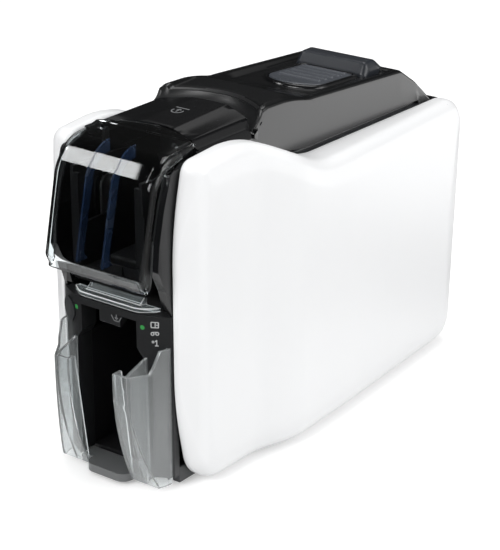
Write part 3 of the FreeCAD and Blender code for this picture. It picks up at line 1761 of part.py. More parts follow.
def tooth_half_angle(teeth, radius):
    pitch_radius = gear_module * teeth / 2
    base = pitch_radius * math.cos(flank_angle)
    spread = math.tan(flank_angle) - flank_angle
    ratio = min(1.0, base / radius)
    lean = math.acos(ratio)
    return math.pi / (2 * teeth) * tooth_thin + spread - (math.tan(lean) - lean)


# Gear with straight flanks between the root and tip widths of an involute tooth
def gear(teeth, phase, y, z, bore):
    pitch_radius = gear_module * teeth / 2
    root = pitch_radius - dedendum * gear_module
    tip = pitch_radius + addendum * gear_module
    points = []
    for index in range(teeth):
        middle = phase + index * 2 * math.pi / teeth
        for radius, sign in ((root, -1), (tip, -1), (tip, 1), (root, 1)):
            angle = middle + sign * tooth_half_angle(teeth, radius)
            points.append(V(0, y + radius * math.cos(angle), z + radius * math.sin(angle)))
    points.append(points[0])
    blank = Part.Face(Part.makePolygon(points))
    blank.translate(V(-gear_inner_x - gear_width, 0, 0))
    body = blank.extrude(V(gear_width, 0, 0))
    return body.cut(rod_x(bore, -gear_inner_x - gear_width - overrun, -gear_inner_x + overrun, y, z))


# Phase of a gear in mesh with another, seen along the line from the first to the second
def mesh_phase(teeth_a, phase_a, direction, teeth_b):
    place_a = teeth_a * (direction - phase_a) / (2 * math.pi)
    return direction + math.pi - 2 * math.pi / teeth_b * (0.5 - place_a)


platen_phase = 0.0
rear_idler_phase = mesh_phase(roller_teeth, platen_phase, 0, idler_teeth)
front_idler_phase = mesh_phase(roller_teeth, platen_phase, math.pi, idler_teeth)
rear_phase = mesh_phase(idler_teeth, rear_idler_phase, 0, roller_teeth)
front_phase = mesh_phase(idler_teeth, front_idler_phase, math.pi, roller_teeth)
link_phase = mesh_phase(roller_teeth, front_phase, math.pi, link_teeth)
pick_phase = mesh_phase(link_teeth, link_phase, math.pi, roller_teeth)
exit_direction = math.atan2(exit_roller_z - roller_axis_z, exit_roller_y - pick_roller_y)
exit_phase = mesh_phase(roller_teeth, pick_phase, exit_direction, roller_teeth)
pinion_phase = mesh_phase(idler_teeth, rear_idler_phase, -math.pi / 2, pinion_teeth)


def shaft_with_gear(phase, y, z):
    shaft = rod_x(shaft_radius, -shaft_left_x, shaft_right_x, y, z)
    wheel = gear(roller_teeth, phase, y, z, shaft_radius)
    return shaft.fuse(wheel)


def sleeve(half, radius, y, z):
    tube = rod_x(radius, -half, half, y, z)
    return tube.cut(rod_x(shaft_radius, -half - overrun, half + overrun, y, z))


roller_table = (
    ("pick", pick_phase, pick_roller_y, roller_axis_z, pick_tyre_x, pick_radius),
    ("front_feed", front_phase, front_roller_y, roller_axis_z, roller_half, roller_radius),
    ("platen", platen_phase, platen_y, roller_axis_z, roller_half, roller_radius),
    ("rear_feed", rear_phase, rear_roller_y, roller_axis_z, roller_half, roller_radius),
    ("exit", exit_phase, exit_roller_y, exit_roller_z, roller_half / 2, roller_radius),
)
for roller_name, phase, roller_y, roller_z, half, radius in roller_table:
    save(roller_name + "_shaft", shaft_with_gear(phase, roller_y, roller_z))
    save(roller_name + "_roller", sleeve(half, radius, roller_y, roller_z))


def idler(teeth, phase, y):
    return gear(teeth, phase, y, roller_axis_z, idler_stud_radius + running_gap)


save("front_idler_gear", idler(idler_teeth, front_idler_phase, front_idler_y))
save("rear_idler_gear", idler(idler_teeth, rear_idler_phase, rear_idler_y))
save("link_gear", idler(link_teeth, link_phase, link_y))


def idler_studs():
    studs = []
    for y, teeth in stud_places:
        studs.append(rod_x(idler_stud_radius, -gear_inner_x - gear_width - gap, -plate_inner_x, y,
                           roller_axis_z))
    return Part.makeCompound(studs)


save("idler_studs", idler_studs())

# Drive motor
motor_half = 17.0
motor_length = 28.0
motor_chamfer = 4.0
motor_shaft_radius = 2.5
motor_boss_radius = 7.0


def drive_motor():
    corners = []
    for y_sign, z_sign in ((-1, -1), (-1, 1), (1, 1), (1, -1)):
        corners.append((motor_y + y_sign * motor_half, motor_z + z_sign * motor_half, motor_chamfer))
    body = side_prism(corners, -plate_inner_x, -plate_inner_x + motor_length)
    boss = rod_x(motor_boss_radius, -plate_x - gap, -plate_inner_x + gap, motor_y, motor_z)
    bore = rod_x(motor_shaft_radius + running_gap, -plate_x - overrun,
                 -plate_inner_x + motor_length / 2,
                 motor_y, motor_z)
    return body.fuse(boss).cut(bore)


save("drive_motor", drive_motor())


def motor_pinion():
    wheel = gear(pinion_teeth, pinion_phase, motor_y, motor_z, motor_shaft_radius)
    shaft = rod_x(motor_shaft_radius, -gear_inner_x - gear_width,
                  -plate_inner_x + motor_length / 2 - gap,
                  motor_y, motor_z)
    return wheel.fuse(shaft)


save("motor_pinion", motor_pinion())

# Cleaning roller and pinch roller above the path
pinch_half = 27.0


def pinch_roller(y):
    body = rod_x(pinch_radius, -pinch_half, pinch_half, y, pinch_z)
    return body.fuse(rod_x(pinch_shaft_radius, -plate_x, plate_x, y, pinch_z))


save("cleaning_roller", pinch_roller(front_roller_y))
save("pinch_roller", pinch_roller(rear_roller_y))

# Guide plate under the card path
guide_plate_thick = 1.5
guide_plate_front = -84.0
guide_plate_rear = 92.0
guide_room = 1.6
guide_drop = 0.8


def card_guide():
    high = path_z - guide_drop
    plate = block(-plate_inner_x, plate_inner_x, guide_plate_front, guide_plate_rear,
                  high - guide_plate_thick, high)
    cuts = []
    for y in (front_roller_y, platen_y, rear_roller_y):
        cuts.append(block(-roller_half - guide_room, roller_half + guide_room, y - roller_radius,
                          y + roller_radius,
                          high - guide_plate_thick - overrun, high + overrun))
    return plate.cut(cuts)


save("card_guide_plate", card_guide())

# Ribbon cartridge with its two spools
supply_y = 56.0
supply_z = 174.0
supply_radius = 15.0
take_up_y = -44.0
take_up_z = 172.0
take_up_radius = 10.5
spool_core_radius = 7.5
spool_end_radius = 4.0
spool_half = 32.0
ribbon_half = 27.5
cheek_inner_x = 33.0
cartridge_wall = 2.5
cartridge_front = -60.0
cartridge_rear = 76.0
cartridge_low = 156.0
cartridge_high = 186.0
cartridge_corner = 12.0
cartridge_bar_radius = 2.5
bar_front_y = -26.0
bar_rear_y = 22.0
bar_z = 160.0
cartridge_bars = ((bar_front_y, bar_z), (bar_rear_y, bar_z))
cartridge_ear_radius = 3.5
film_thick = 0.3


def ribbon_cartridge():
    corners = [
        (cartridge_front, cartridge_low, cartridge_corner),
        (cartridge_front, cartridge_high, cartridge_corner),
        (cartridge_rear, cartridge_high, cartridge_corner),
        (cartridge_rear, cartridge_low, cartridge_corner),
    ]
    pieces = []
    for side in (-1, 1):
        near = side * cheek_inner_x
        far = side * (cheek_inner_x + cartridge_wall)
        pieces.append(side_prism(corners, min(near, far), max(near, far)))
        for y, z in cartridge_bars:
            ear = side * plate_inner_x
            pieces.append(rod_x(cartridge_ear_radius, min(near, ear), max(near, ear), y, z))
    for y, z in cartridge_bars:
        pieces.append(rod_x(cartridge_bar_radius, -cheek_inner_x, cheek_inner_x, y, z))
    bores = []
    for y, z in ((supply_y, supply_z), (take_up_y, take_up_z)):
        bores.append(rod_x(spool_end_radius + running_gap, -plate_inner_x, plate_inner_x, y, z))
    return joined(pieces).cut(bores)


save("ribbon_cartridge", ribbon_cartridge())


def spool(y, z):
    core = rod_x(spool_core_radius, -spool_half, spool_half, y, z)
    return core.fuse(rod_x(spool_end_radius, -cheek_inner_x - cartridge_wall,
                           cheek_inner_x + cartridge_wall, y, z))


def ribbon_roll(radius, y, z):
    roll = rod_x(radius, -ribbon_half, ribbon_half, y, z)
    return roll.cut(rod_x(spool_core_radius, -spool_half, spool_half, y, z))


save("supply_spool", spool(supply_y, supply_z))
save("take_up_spool", spool(take_up_y, take_up_z))
save("supply_ribbon_roll", ribbon_roll(supply_radius, supply_y, supply_z))
save("take_up_ribbon_roll", ribbon_roll(take_up_radius, take_up_y, take_up_z))


def ribbon_film():
    low = path_z + nip_gap + film_thick / 2
    front_bar = cartridge_bars[0]
    rear_bar = cartridge_bars[1]
    under = cartridge_bar_radius + film_thick
    route = [
        (take_up_y, take_up_z - take_up_radius - free_gap - film_thick),
        (front_bar[0], front_bar[1] - under),
        (-head_rear_y, low),
        (head_rear_y, low),
        (rear_bar[0], rear_bar[1] - under),
        (supply_y - supply_radius / 2, supply_z - supply_radius - free_gap - film_thick),
    ]
    corners = [(y, z, 0) for y, z in route]
    corners += [(y, z + film_thick, 0) for y, z in reversed(route)]
    return side_prism(corners, -ribbon_half, ribbon_half)


save("ribbon_film", ribbon_film())
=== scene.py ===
import math
from contextlib import contextmanager

import bmesh
import bpy
import numpy as np
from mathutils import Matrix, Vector
from mathutils.bvhtree import BVHTree


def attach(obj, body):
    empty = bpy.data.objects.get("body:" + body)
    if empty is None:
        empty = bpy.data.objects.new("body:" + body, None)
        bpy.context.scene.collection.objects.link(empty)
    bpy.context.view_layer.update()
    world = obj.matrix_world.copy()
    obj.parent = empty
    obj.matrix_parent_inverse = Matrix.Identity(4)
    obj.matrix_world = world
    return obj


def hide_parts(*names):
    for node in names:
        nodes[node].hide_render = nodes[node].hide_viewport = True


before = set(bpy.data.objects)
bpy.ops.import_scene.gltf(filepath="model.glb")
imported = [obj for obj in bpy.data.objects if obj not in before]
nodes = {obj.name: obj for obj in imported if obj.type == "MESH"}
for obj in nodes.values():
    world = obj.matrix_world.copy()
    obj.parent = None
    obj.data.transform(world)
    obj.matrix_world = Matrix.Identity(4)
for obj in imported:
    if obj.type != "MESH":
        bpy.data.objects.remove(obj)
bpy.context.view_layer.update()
mm = 0.001

# Camera, from the photo's vanishing directions
cameraSetup = {
    "place": (0.7948, -1.0643, 0.6451),
    "yaw": 36.904,      # degrees from straight ahead, towards the printer's right side
    "pitch": 22.491,    # degrees looking down
    "lens": 129.1,
    "sensor": 36.0,
    "reach": 50.0,
}


def makeCamera():
    yaw = math.radians(cameraSetup["yaw"])
    pitch = math.radians(cameraSetup["pitch"])
    ahead = Vector((-math.sin(yaw) * math.cos(pitch), math.cos(yaw) * math.cos(pitch),
                    -math.sin(pitch)))
    data = bpy.data.cameras.new("photoCamera")
    data.lens = cameraSetup["lens"]
    data.sensor_width = cameraSetup["sensor"]
    data.clip_end = cameraSetup["reach"]
    camera = bpy.data.objects.new("photoCamera", data)
    camera.location = cameraSetup["place"]
    camera.rotation_euler = ahead.to_track_quat("-Z", "Y").to_euler()
    bpy.context.scene.collection.objects.link(camera)
    bpy.context.scene.camera = camera
    print("camera ready")


makeCamera()


# Small helpers for node trees
def addNode(tree, kind, **settings):
    node = tree.nodes.new(kind)
    for key, value in settings.items():
        setattr(node, key, value)
    return node


# Gives a socket a link where the value is another socket, and otherwise the value itself
def feed(tree, socket, value):
    if isinstance(value, bpy.types.NodeSocket):
        tree.links.new(value, socket)
    else:
        socket.default_value = value


def feedNamed(tree, sockets, values):
    for name, value in values.items():
        feed(tree, sockets[name], value)


def mathNode(tree, operation, *values, clamp=False):
    node = addNode(tree, "ShaderNodeMath", operation=operation, use_clamp=clamp)
    for socket, value in zip(node.inputs, values):
        feed(tree, socket, value)
    return node.outputs[0]


def product(tree, result, *others):
    for value in others:
        result = mathNode(tree, "MULTIPLY", result, value)
    return result


# Share of the way from near to far, kept between nothing and all
def shareOf(tree, value, near, far):
    return mathNode(tree, "DIVIDE", mathNode(tree, "SUBTRACT", value, near), far - near, clamp=True)


def mixColor(tree, factor, first, second, blend="MIX"):
    node = addNode(tree, "ShaderNodeMix", data_type="RGBA", blend_type=blend)
    for place, value in ((0, factor), (6, first), (7, second)):
        feed(tree, node.inputs[place], value)
    return node.outputs[2]


def scaleColor(tree, color, factor):
    node = addNode(tree, "ShaderNodeVectorMath", operation="SCALE")
    feed(tree, node.inputs[0], color)
    feed(tree, node.inputs["Scale"], factor)
    return node.outputs[0]


def dotWith(tree, place, direction):
    node = addNode(tree, "ShaderNodeVectorMath", operation="DOT_PRODUCT")
    feed(tree, node.inputs[0], place)
    feed(tree, node.inputs[1], direction)
    return node.outputs["Value"]


def splitAxes(tree, vector):
    node = addNode(tree, "ShaderNodeSeparateXYZ")
    feed(tree, node.inputs[0], vector)
    return node.outputs


def objectPlace(tree):
    return addNode(tree, "ShaderNodeTexCoord").outputs["Object"]


def addNoise(tree, where, scale, detail=2.0, distortion=0.0):
    node = addNode(tree, "ShaderNodeTexNoise")
    feedNamed(tree, node.inputs, {"Vector": where, "Scale": scale, "Detail": detail,
                                  "Distortion": distortion})
    return node.outputs["Fac"]


# One where nothing but glass lies between the camera and the surface, with no reflection between
def straightThrough(tree, path):
    turns = mathNode(tree, "SUBTRACT", path["Ray Depth"], path["Transmission Depth"])
    return product(tree, mathNode(tree, "LESS_THAN", turns, 0.5), path["Is Transmission Ray"])


def rampNode(tree, value, stops):
    node = addNode(tree, "ShaderNodeValToRGB")
    ramp = node.color_ramp
    while len(ramp.elements) < len(stops):
        ramp.elements.new(0.5)
    for element, (place, level) in zip(ramp.elements, stops):
        element.position = place
        element.color = (level, level, level, 1)
    feed(tree, node.inputs[0], value)
    return node.outputs[0]


# A group takes a colour, a roughness and some further numbers
def newGroup(name, numbers):
    group = bpy.data.node_groups.new(name, "ShaderNodeTree")
    sockets = [(label, "INPUT") for label in ("Color", "Roughness", *numbers)]
    sockets += [(label, "OUTPUT") for label in ("Color", "Roughness", "Height")]
    for label, side in sockets:
        kind = "NodeSocketColor" if label == "Color" else "NodeSocketFloat"
        group.interface.new_socket(label, in_out=side, socket_type=kind)
    return group, addNode(group, "NodeGroupInput").outputs


def endGroup(group, color, rough, height):
    sink = addNode(group, "NodeGroupOutput")
    feedNamed(group, sink.inputs, {"Color": color, "Roughness": rough, "Height": height})
    return group


mouldGrain = {
    "slow": (22.0, 5.0),       # scale and detail
    "speck": (900.0, 3.0),
    "speckStops": ((0.0, 0.0), (0.60, 0.0), (0.74, 1.0)),
    "dustColor": (0.42, 0.42, 0.41, 1),
    "dustRough": 0.4,
}


# Moulded grain: fine even noise gives the height, slow noise varies colour and roughness, and
# specks of dust lie where a face looks up
def makeMouldGrain():
    group, given = newGroup("mouldGrain", ("Grain", "Tint Spread", "Rough Spread", "Dust"))
    where = objectPlace(group)
    swing = mathNode(group, "SUBTRACT", addNoise(group, where, *mouldGrain["slow"]), 0.5)
    bright = mathNode(group, "ADD", product(group, swing, given["Tint Spread"]), 1.0)
    facing = addNode(group, "ShaderNodeNewGeometry").outputs["Normal"]
    upward = mathNode(group, "MAXIMUM", splitAxes(group, facing)["Z"], 0.0)
    speck = addNoise(group, where, *mouldGrain["speck"])
    specks = rampNode(group, speck, mouldGrain["speckStops"])
    dust = product(group, specks, upward, given["Dust"])
    color = scaleColor(group, given["Color"], bright)
    color = mixColor(group, dust, color, mouldGrain["dustColor"])
    rough = product(group, swing, given["Rough Spread"])
    rough = mathNode(group, "ADD", rough, given["Roughness"])
    dustRough = product(group, dust, mouldGrain["dustRough"])
    rough = mathNode(group, "ADD", rough, dustRough, clamp=True)
    return endGroup(group, color, rough, addNoise(group, where, given["Grain"]))


brushedMetal = {
    "stretch": (60.0, 2200.0, 2200.0),
    "lineDetail": 4.0,
    "patchScale": 35.0,
    "patchSpread": 0.3,
}


# Brushed metal: noise stretched along one axis drives height, roughness and a little colour
def makeBrushed():
    group, given = newGroup("brushedMetal", ("Spread",))
    where = objectPlace(group)
    turn = addNode(group, "ShaderNodeMapping")
    feedNamed(group, turn.inputs, {"Vector": where, "Scale": brushedMetal["stretch"]})
    lines = addNoise(group, turn.outputs[0], 1.0, brushedMetal["lineDetail"])
    patch = addNoise(group, where, brushedMetal["patchScale"])
    spread = product(group, mathNode(group, "SUBTRACT", lines, 0.5), given["Spread"])
    rough = mathNode(group, "ADD", spread, given["Roughness"], clamp=True)
    patchSwing = mathNode(group, "SUBTRACT", patch, 0.5)
    shade = mathNode(group, "ADD", product(group, patchSwing, brushedMetal["patchSpread"]), 1.0)
    return endGroup(group, scaleColor(group, given["Color"], shade), rough, lines)


clearSmudge = {
    "soft": (30.0, 6.0, 0.6),       # scale, detail and distortion
    "flowScale": 14.0,
    "stops": ((0.0, 0.0), (0.45, 0.0), (0.75, 1.0)),
    "color": (0.75, 0.77, 0.77, 1),
}


# Clear plastic: faint handling smudges raise the roughness and tint in soft patches
def makeClearSmudge():
    group, given = newGroup("clearSmudge", ("Smudge",))
    where = objectPlace(group)
    soft = addNoise(group, where, *clearSmudge["soft"])
    smear = product(group, rampNode(group, soft, clearSmudge["stops"]), given["Smudge"])
    rough = mathNode(group, "ADD", given["Roughness"], smear, clamp=True)
    color = mixColor(group, smear, given["Color"], clearSmudge["color"])
    return endGroup(group, color, rough, addNoise(group, where, clearSmudge["flowScale"]))


groups = {"grain": makeMouldGrain(), "brushed": makeBrushed(), "clear": makeClearSmudge()}

# Colours are linear; bump is the surface's height in metres
finishTerms = {
    "grain": ("color", "rough", "grain", "bump", "tint", "spread", "dust", "specular", "coat"),
    "brushed": ("color", "rough", "spread", "bump"),
    "clear": ("color", "rough", "smudge", "bump", "haze", "shadow", "bend"),
}
finishes = {
    "grain": {
        "whiteShell": ((0.800, 0.805, 0.812), 0.34, 2600, 0.000012, 0.015, 0.05, 0.02, 0.45),
        "darkShell": ((0.026, 0.0275, 0.030), 0.40, 2400, 0.00003, 0.20, 0.10, 0.05, 0.50),
        "coverSatin": ((0.0056, 0.0059, 0.0064), 0.22, 2400, 0.00001, 0.15, 0.06, 0.01, 0.50),
        # painted light: the lip's forward faces are lighter and rougher than coverSatin; the
        # lighter colour is painted light
        "lipLitSatin": ((0.010, 0.0105, 0.0112), 0.35, 2400, 0.00001, 0.15, 0.06, 0.01, 0.50),
        "bezelSatin": ((0.0172, 0.0178, 0.0188), 0.33, 2200, 0.00003, 0.15, 0.08, 0.04, 0.45),
        "darkGloss": ((0.0042, 0.0044, 0.0050), 0.20, 900, 0.000003, 0.10, 0.05, 0.02, 0.50, 0.15),
        "deepBlack": ((0.0030, 0.0032, 0.0036), 0.50, 1800, 0.00002, 0.25, 0.08, 0.01, 0.22),
        "trayGrey": ((0.125, 0.130, 0.132), 0.30, 2200, 0.00002, 0.10, 0.08, 0.02, 0.50),
        "buttonSatin": ((0.055, 0.060, 0.070), 0.28, 2000, 0.000015, 0.10, 0.08, 0.04, 0.55),
        "blockSatin": ((0.018, 0.021, 0.027), 0.34, 2200, 0.00002, 0.10, 0.08, 0.04, 0.50),
        "innerBlack": ((0.008, 0.008, 0.009), 0.55, 1800, 0.00004, 0.25, 0.10, 0.02, 0.35),
        "ribbonFrame": ((0.28, 0.30, 0.31), 0.45, 1600, 0.00003, 0.08, 0.10, 0.03, 0.5),
        "ribbonDye": ((0.020, 0.014, 0.045), 0.22, 300, 0.00001, 0.40, 0.10, 0.0, 0.5),
        "rollerRubber": ((0.022, 0.022, 0.023), 0.72, 1500, 0.00006, 0.30, 0.10, 0.10, 0.3),
        "gearPlastic": ((0.70, 0.67, 0.58), 0.42, 1800, 0.00002, 0.06, 0.08, 0.05, 0.5),
        "boardGreen": ((0.012, 0.085, 0.035), 0.32, 700, 0.00003, 0.35, 0.15, 0.05, 0.5),
        "headBody": ((0.050, 0.042, 0.036), 0.35, 1500, 0.00002, 0.10, 0.10, 0.0, 0.5),
        "inkWhite": ((0.42, 0.43, 0.43), 0.5, 2500, 0.00001, 0.05, 0.05, 0.0, 0.4),
        "inkGrey": ((0.16, 0.165, 0.17), 0.45, 2500, 0.00001, 0.05, 0.05, 0.0, 0.4),
    },
    "brushed": {
        "steelPlate": ((0.50, 0.51, 0.52), 0.42, 0.25, 0.00002),
        "steelShaft": ((0.55, 0.55, 0.56), 0.25, 0.20, 0.00001),
        "bushBronze": ((0.50, 0.33, 0.15), 0.40, 0.20, 0.00002),
        "headAlloy": ((0.68, 0.69, 0.70), 0.38, 0.20, 0.00002),
        "motorCan": ((0.22, 0.23, 0.24), 0.42, 0.20, 0.00002),
    },
    "clear": {
        "clearDoor": ((0.90, 0.94, 0.95), 0.012, 0.02, 0.00004, 1.0, 0.15, 1.38),
        "ribBlue": ((0.010, 0.024, 0.060), 0.25, 0.05, 0.0001, 0.30, 0.4, 1.25),
        "clearWing": ((0.87, 0.90, 0.905), 0.04, 0.05, 0.0001, 0.90, 0.25, 1.46),
        "clearLip": ((0.62, 0.68, 0.69), 0.06, 0.05, 0.0001, 0.92, 0.25, 1.46),
        # painted highlight: a paler, hazier clear finish for the softened edges of clear pieces,
        # for the light they catch
        "paintedEdgeHighlight": ((0.90, 0.92, 0.93), 0.20, 0.02, 0.0001, 0.30, 0.4, 1.46),
    },
}
coatRough = 0.05


def newMaterial(name):
    material = bpy.data.materials.new(name)
    material.use_nodes = True
    tree = material.node_tree
    return material, tree, tree.nodes["Principled BSDF"].inputs


def makeMaterial(name, kind, values):
    recipe = dict(zip(finishTerms[kind], values))
    material, tree, shader = newMaterial(name)
    group = addNode(tree, "ShaderNodeGroup", node_tree=groups[kind])
    given, made = group.inputs, group.outputs
    feedNamed(tree, given, {"Color": (*recipe["color"], 1), "Roughness": recipe["rough"]})
    if kind == "grain":
        feedNamed(tree, given, {"Grain": recipe["grain"], "Tint Spread": recipe["tint"],
                                "Rough Spread": recipe["spread"], "Dust": recipe["dust"]})
        feedNamed(tree, shader, {"Specular IOR Level": recipe["specular"],
                                 "Coat Weight": recipe.get("coat", 0.0),
                                 "Coat Roughness": coatRough})
    elif kind == "brushed":
        feed(tree, given["Spread"], recipe["spread"])
        feed(tree, shader["Metallic"], 1.0)
    else:
        feed(tree, given["Smudge"], recipe["smudge"])
        path = addNode(tree, "ShaderNodeLightPath").outputs
        fade = product(tree, path["Is Shadow Ray"], 1.0 - recipe["shadow"])
        feedNamed(tree, shader, {"Transmission Weight": recipe["haze"], "IOR": recipe["bend"],
                                 "Alpha": mathNode(tree, "SUBTRACT", 1.0, fade)})
    bump = addNode(tree, "ShaderNodeBump")
    feedNamed(tree, bump.inputs, {"Strength": 1.0, "Distance": recipe["bump"],
                                  "Height": made["Height"]})
    feedNamed(tree, shader, {"Base Color": made["Color"], "Roughness": made["Roughness"],
                             "Normal": bump.outputs[0]})
    return material


materials = {name: makeMaterial(name, kind, values)
             for kind, table in finishes.items() for name, values in table.items()}

lampWindow = {
    "color": (0.03, 0.20, 0.05, 1),
    "rough": 0.25,
    "grain": 600.0,
    "stops": ((0.0, 0.6), (1.0, 1.0)),
    "strength": 0.30,
}


# Lamp window: a green body with a faint glow that a fine noise makes uneven
def makeLampMaterial(name):
    material, tree, shader = newMaterial(name)
    noise = addNoise(tree, objectPlace(tree), lampWindow["grain"])
    glow = rampNode(tree, noise, lampWindow["stops"])
    tinted = mixColor(tree, 1.0, glow, lampWindow["color"], "MULTIPLY")
    feedNamed(tree, shader, {"Base Color": lampWindow["color"], "Roughness": lampWindow["rough"],
                             "Emission Color": tinted, "Emission Strength": lampWindow["strength"]})
    return material


materials["lampGreen"] = makeLampMaterial("lampGreen")
print("materials ready", len(materials))


# Small helpers for shapes

# Outline of straight runs joined by arcs: each arc turns from one run's direction to the next
def roundedPath(corners, step=0.6, closed=False):
    points = np.array([corner[:2] for corner in corners], float)
    count = len(points)
    parts = [] if closed else [points[:1]]
    for here in (range(count) if closed else range(1, count - 1)):
        radius = corners[here][2]
        into = points[here] - points[here - 1]
        out = points[(here + 1) % count] - points[here]
        into /= np.linalg.norm(into)
        out /= np.linalg.norm(out)
        turn = math.acos(float(np.clip(into @ out, -1, 1)))
        if radius <= 0 or turn < 1e-4:
            parts.append(points[here][None])
            continue
        side = 1.0 if into[0] * out[1] - into[1] * out[0] > 0 else -1.0
        start = points[here] - into * radius * math.tan(turn / 2)
        centre = start + side * radius * np.array([-into[1], into[0]])
        angles = side * np.linspace(0, turn, max(4, int(radius * turn / step) + 2))
        spoke = start - centre
        arc = np.stack([spoke[0] * np.cos(angles) - spoke[1] * np.sin(angles),
                        spoke[0] * np.sin(angles) + spoke[1] * np.cos(angles)], 1)
        parts.append(centre + arc)
    parts.append(parts[0][:1] if closed else points[-1:])
    return np.vstack(parts)


# Points evenly spaced along a path
def evenly(path, count):
    steps = np.linalg.norm(np.diff(path, axis=0), axis=1)
    length = np.concatenate([[0], np.cumsum(steps)])
    keep = np.concatenate([[True], np.diff(length) > 1e-9])
    places = np.linspace(0, length[-1], count)
    return np.stack([np.interp(places, length[keep], path[keep, axis])
                     for axis in range(path.shape[1])], 1)


# Goes from nothing to all with a level start and end: three squares less two cubes
def smoothStep(value):
    share = np.clip(value, 0, 1)
    return share * share * (3 - 2 * share)


# Lower of two heights with the crease between them rounded over a width
def softMin(first, second, width):
    share = np.clip(0.5 + 0.5 * (second - first) / width, 0, 1)
    return second + (first - second) * share - width * share * (1 - share)


# Points from an x, or a row of them, and a row of places along and up
def atX(x, place):
    return np.column_stack([np.broadcast_to(x, len(place)), place])


# Four-sided faces between each point of a grid and its neighbours in the next row and column
def gridFaces(rows, columns, wrapRows=False, wrapColumns=False, first=0):
    index = np.arange(rows * columns).reshape(rows, columns) + first
    if wrapRows:
        index = np.vstack([index, index[:1]])
    if wrapColumns:
        index = np.hstack([index, index[:, :1]])
    return np.stack([index[:-1, :-1], index[1:, :-1], index[1:, 1:], index[:-1, 1:]], -1)


# Opens a mesh for bmesh's operators and writes it back
@contextmanager
def meshWork(mesh):
    work = bmesh.new()
    work.from_mesh(mesh)
    yield work
    work.to_mesh(mesh)
    work.free()


# One mesh from grids of points (rows, columns, xyz) in millimetres; near points are merged.
# A grid is its points, whether its rows and columns close, and the faces to keep
def buildMesh(name, grids, sharp=35.0, merge=0.004):
    vertices = []
    faces = []
    start = 0
    for points, wrapRows, wrapColumns, keep in grids:
        rows, columns = points.shape[:2]
        quads = gridFaces(rows, columns, wrapRows, wrapColumns, start)
        faces.append(quads[keep] if keep is not None else quads.reshape(-1, 4))
        vertices.append(points.reshape(-1, 3) * mm)
        start += rows * columns
    used, faces = np.unique(np.vstack(faces), return_inverse=True)
    mesh = bpy.data.meshes.new(name)
    mesh.from_pydata(np.vstack(vertices)[used].tolist(), [], faces.reshape(-1, 4).tolist())
    with meshWork(mesh) as work:
        bmesh.ops.remove_doubles(work, verts=work.verts, dist=merge * mm)
        bmesh.ops.dissolve_degenerate(work, edges=work.edges, dist=merge * mm)
    smoothFaces(mesh, sharp)
    return mesh


def smoothFaces(mesh, sharp):
    mesh.polygons.foreach_set("use_smooth", np.ones(len(mesh.polygons), bool))
    mesh.set_sharp_from_angle(angle=math.radians(sharp))
    mesh.update()


def recalcNormals(mesh):
    with meshWork(mesh) as work:
        bmesh.ops.recalc_face_normals(work, faces=work.faces)


# A value of every face, such as its normal or centre, as rows of three
def faceRows(mesh, name):
    rows = np.empty(len(mesh.polygons) * 3)
    mesh.polygons.foreach_get(name, rows)
    return rows.reshape(-1, 3)


# A mesh's points in millimetres, and the way back
def readPoints(mesh):
    points = np.empty(len(mesh.vertices) * 3)
    mesh.vertices.foreach_get("co", points)
    return points.reshape(-1, 3) / mm


def writePoints(mesh, points):
    mesh.vertices.foreach_set("co", (points * mm).ravel())
    mesh.update()


def useSecond(mesh, chosen):
    mesh.polygons.foreach_set("material_index", chosen.astype(np.int32))


# Turns a mesh inside out where most of its area faces away from one axis
def faceTowards(mesh, axis, sign):
    areas = np.empty(len(mesh.polygons))
    mesh.polygons.foreach_get("area", areas)
    if (faceRows(mesh, "normal")[:, axis] * areas).sum() * sign < 0:
        mesh.flip_normals()


# Lining is the finish of a wall's inner face; the edge finish is a painted highlight on the
# softened edges
def addPiece(name, mesh, material, body, replaced=(), solid=0.0, bevel=0.0, segments=2,
             limit=38.0, lining="", highlightFinish="", second=""):
    piece = bpy.data.objects.new(name, mesh)
    bpy.context.scene.collection.objects.link(piece)
    mesh.materials.clear()
    for finish in filter(None, (material, lining, highlightFinish, second)):
        mesh.materials.append(materials[finish])
    if solid:
        wall = piece.modifiers.new("wall", "SOLIDIFY")
        wall.thickness = solid * mm
        wall.offset = -1.0
        wall.use_even_offset = False
        wall.material_offset = 1 if lining else 0
    if bevel:
        edge = piece.modifiers.new("edge", "BEVEL")
        edge.width = bevel * mm
        edge.segments = segments
        edge.limit_method = "ANGLE"
        edge.angle_limit = math.radians(limit)
        edge.use_clamp_overlap = True
        # the softened edges take the painted highlight finish where one is given
        edge.material = 1 if highlightFinish else -1
        edge.harden_normals = True
    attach(piece, body)
    if replaced:
        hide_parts(*replaced)


# Side covers
sideCover = {
    "profile": [(-143.38, 4.0, 22.0), (-152.8, 61.92, 300.0), (-152.8, 185.89, 300.0),
                (-144.39, 232.88, 10.0), (-89.91, 236.6, 95.0), (-18.28, 201.94, 80.0),
                (183.48, 199.15, 24.0), (173.41, 4.0, 20.0)],
    "plan": [(43.3, -159.86, 0.0), (66.5, -141.03, 12.0), (67.8, -83.86, 60.0),
             (78.17, -51.91, 50.0), (75.9, 11.99, 400.0), (64.6, 190.23, 0.0)],
    "seam": 47.3,
    "rim": 8.0,
    "rimShare": 0.52,
    "lip": 4.0,
    "lipShare": 0.34,
    "wall": 2.5,
    "bevel": 0.35,
    "band": (1.6, 21.0, 2.2),      # where the slanted band begins and ends, and its depth
    "frontMid": (-152.8, 118.0),
    "rearMid": (108.0, 0.6),
    "denseCount": 6000,
    "halfCount": 210,
    "spine": ((-98.0, 118.0), (120.0, 108.0)),
    "spineShare": 0.13,
    "spinePower": 1.5,             # rows lie closer together near the rim
    "steps": {"lip": 7, "wall": 6, "rim": 12, "face": 46},
}
planPath = roundedPath([(y, x, radius) for x, y, radius in sideCover["plan"]], 0.5)


# Outer face of a side cover at a place along the printer
def planX(y):
    return np.interp(y, planPath[:, 0], planPath[:, 1])


# How far the band along the cover's edge falls below the face
def bandFall(inset):
    near, far, depth = sideCover["band"]
    return depth * (1 - smoothStep((inset - near) / (far - near)))


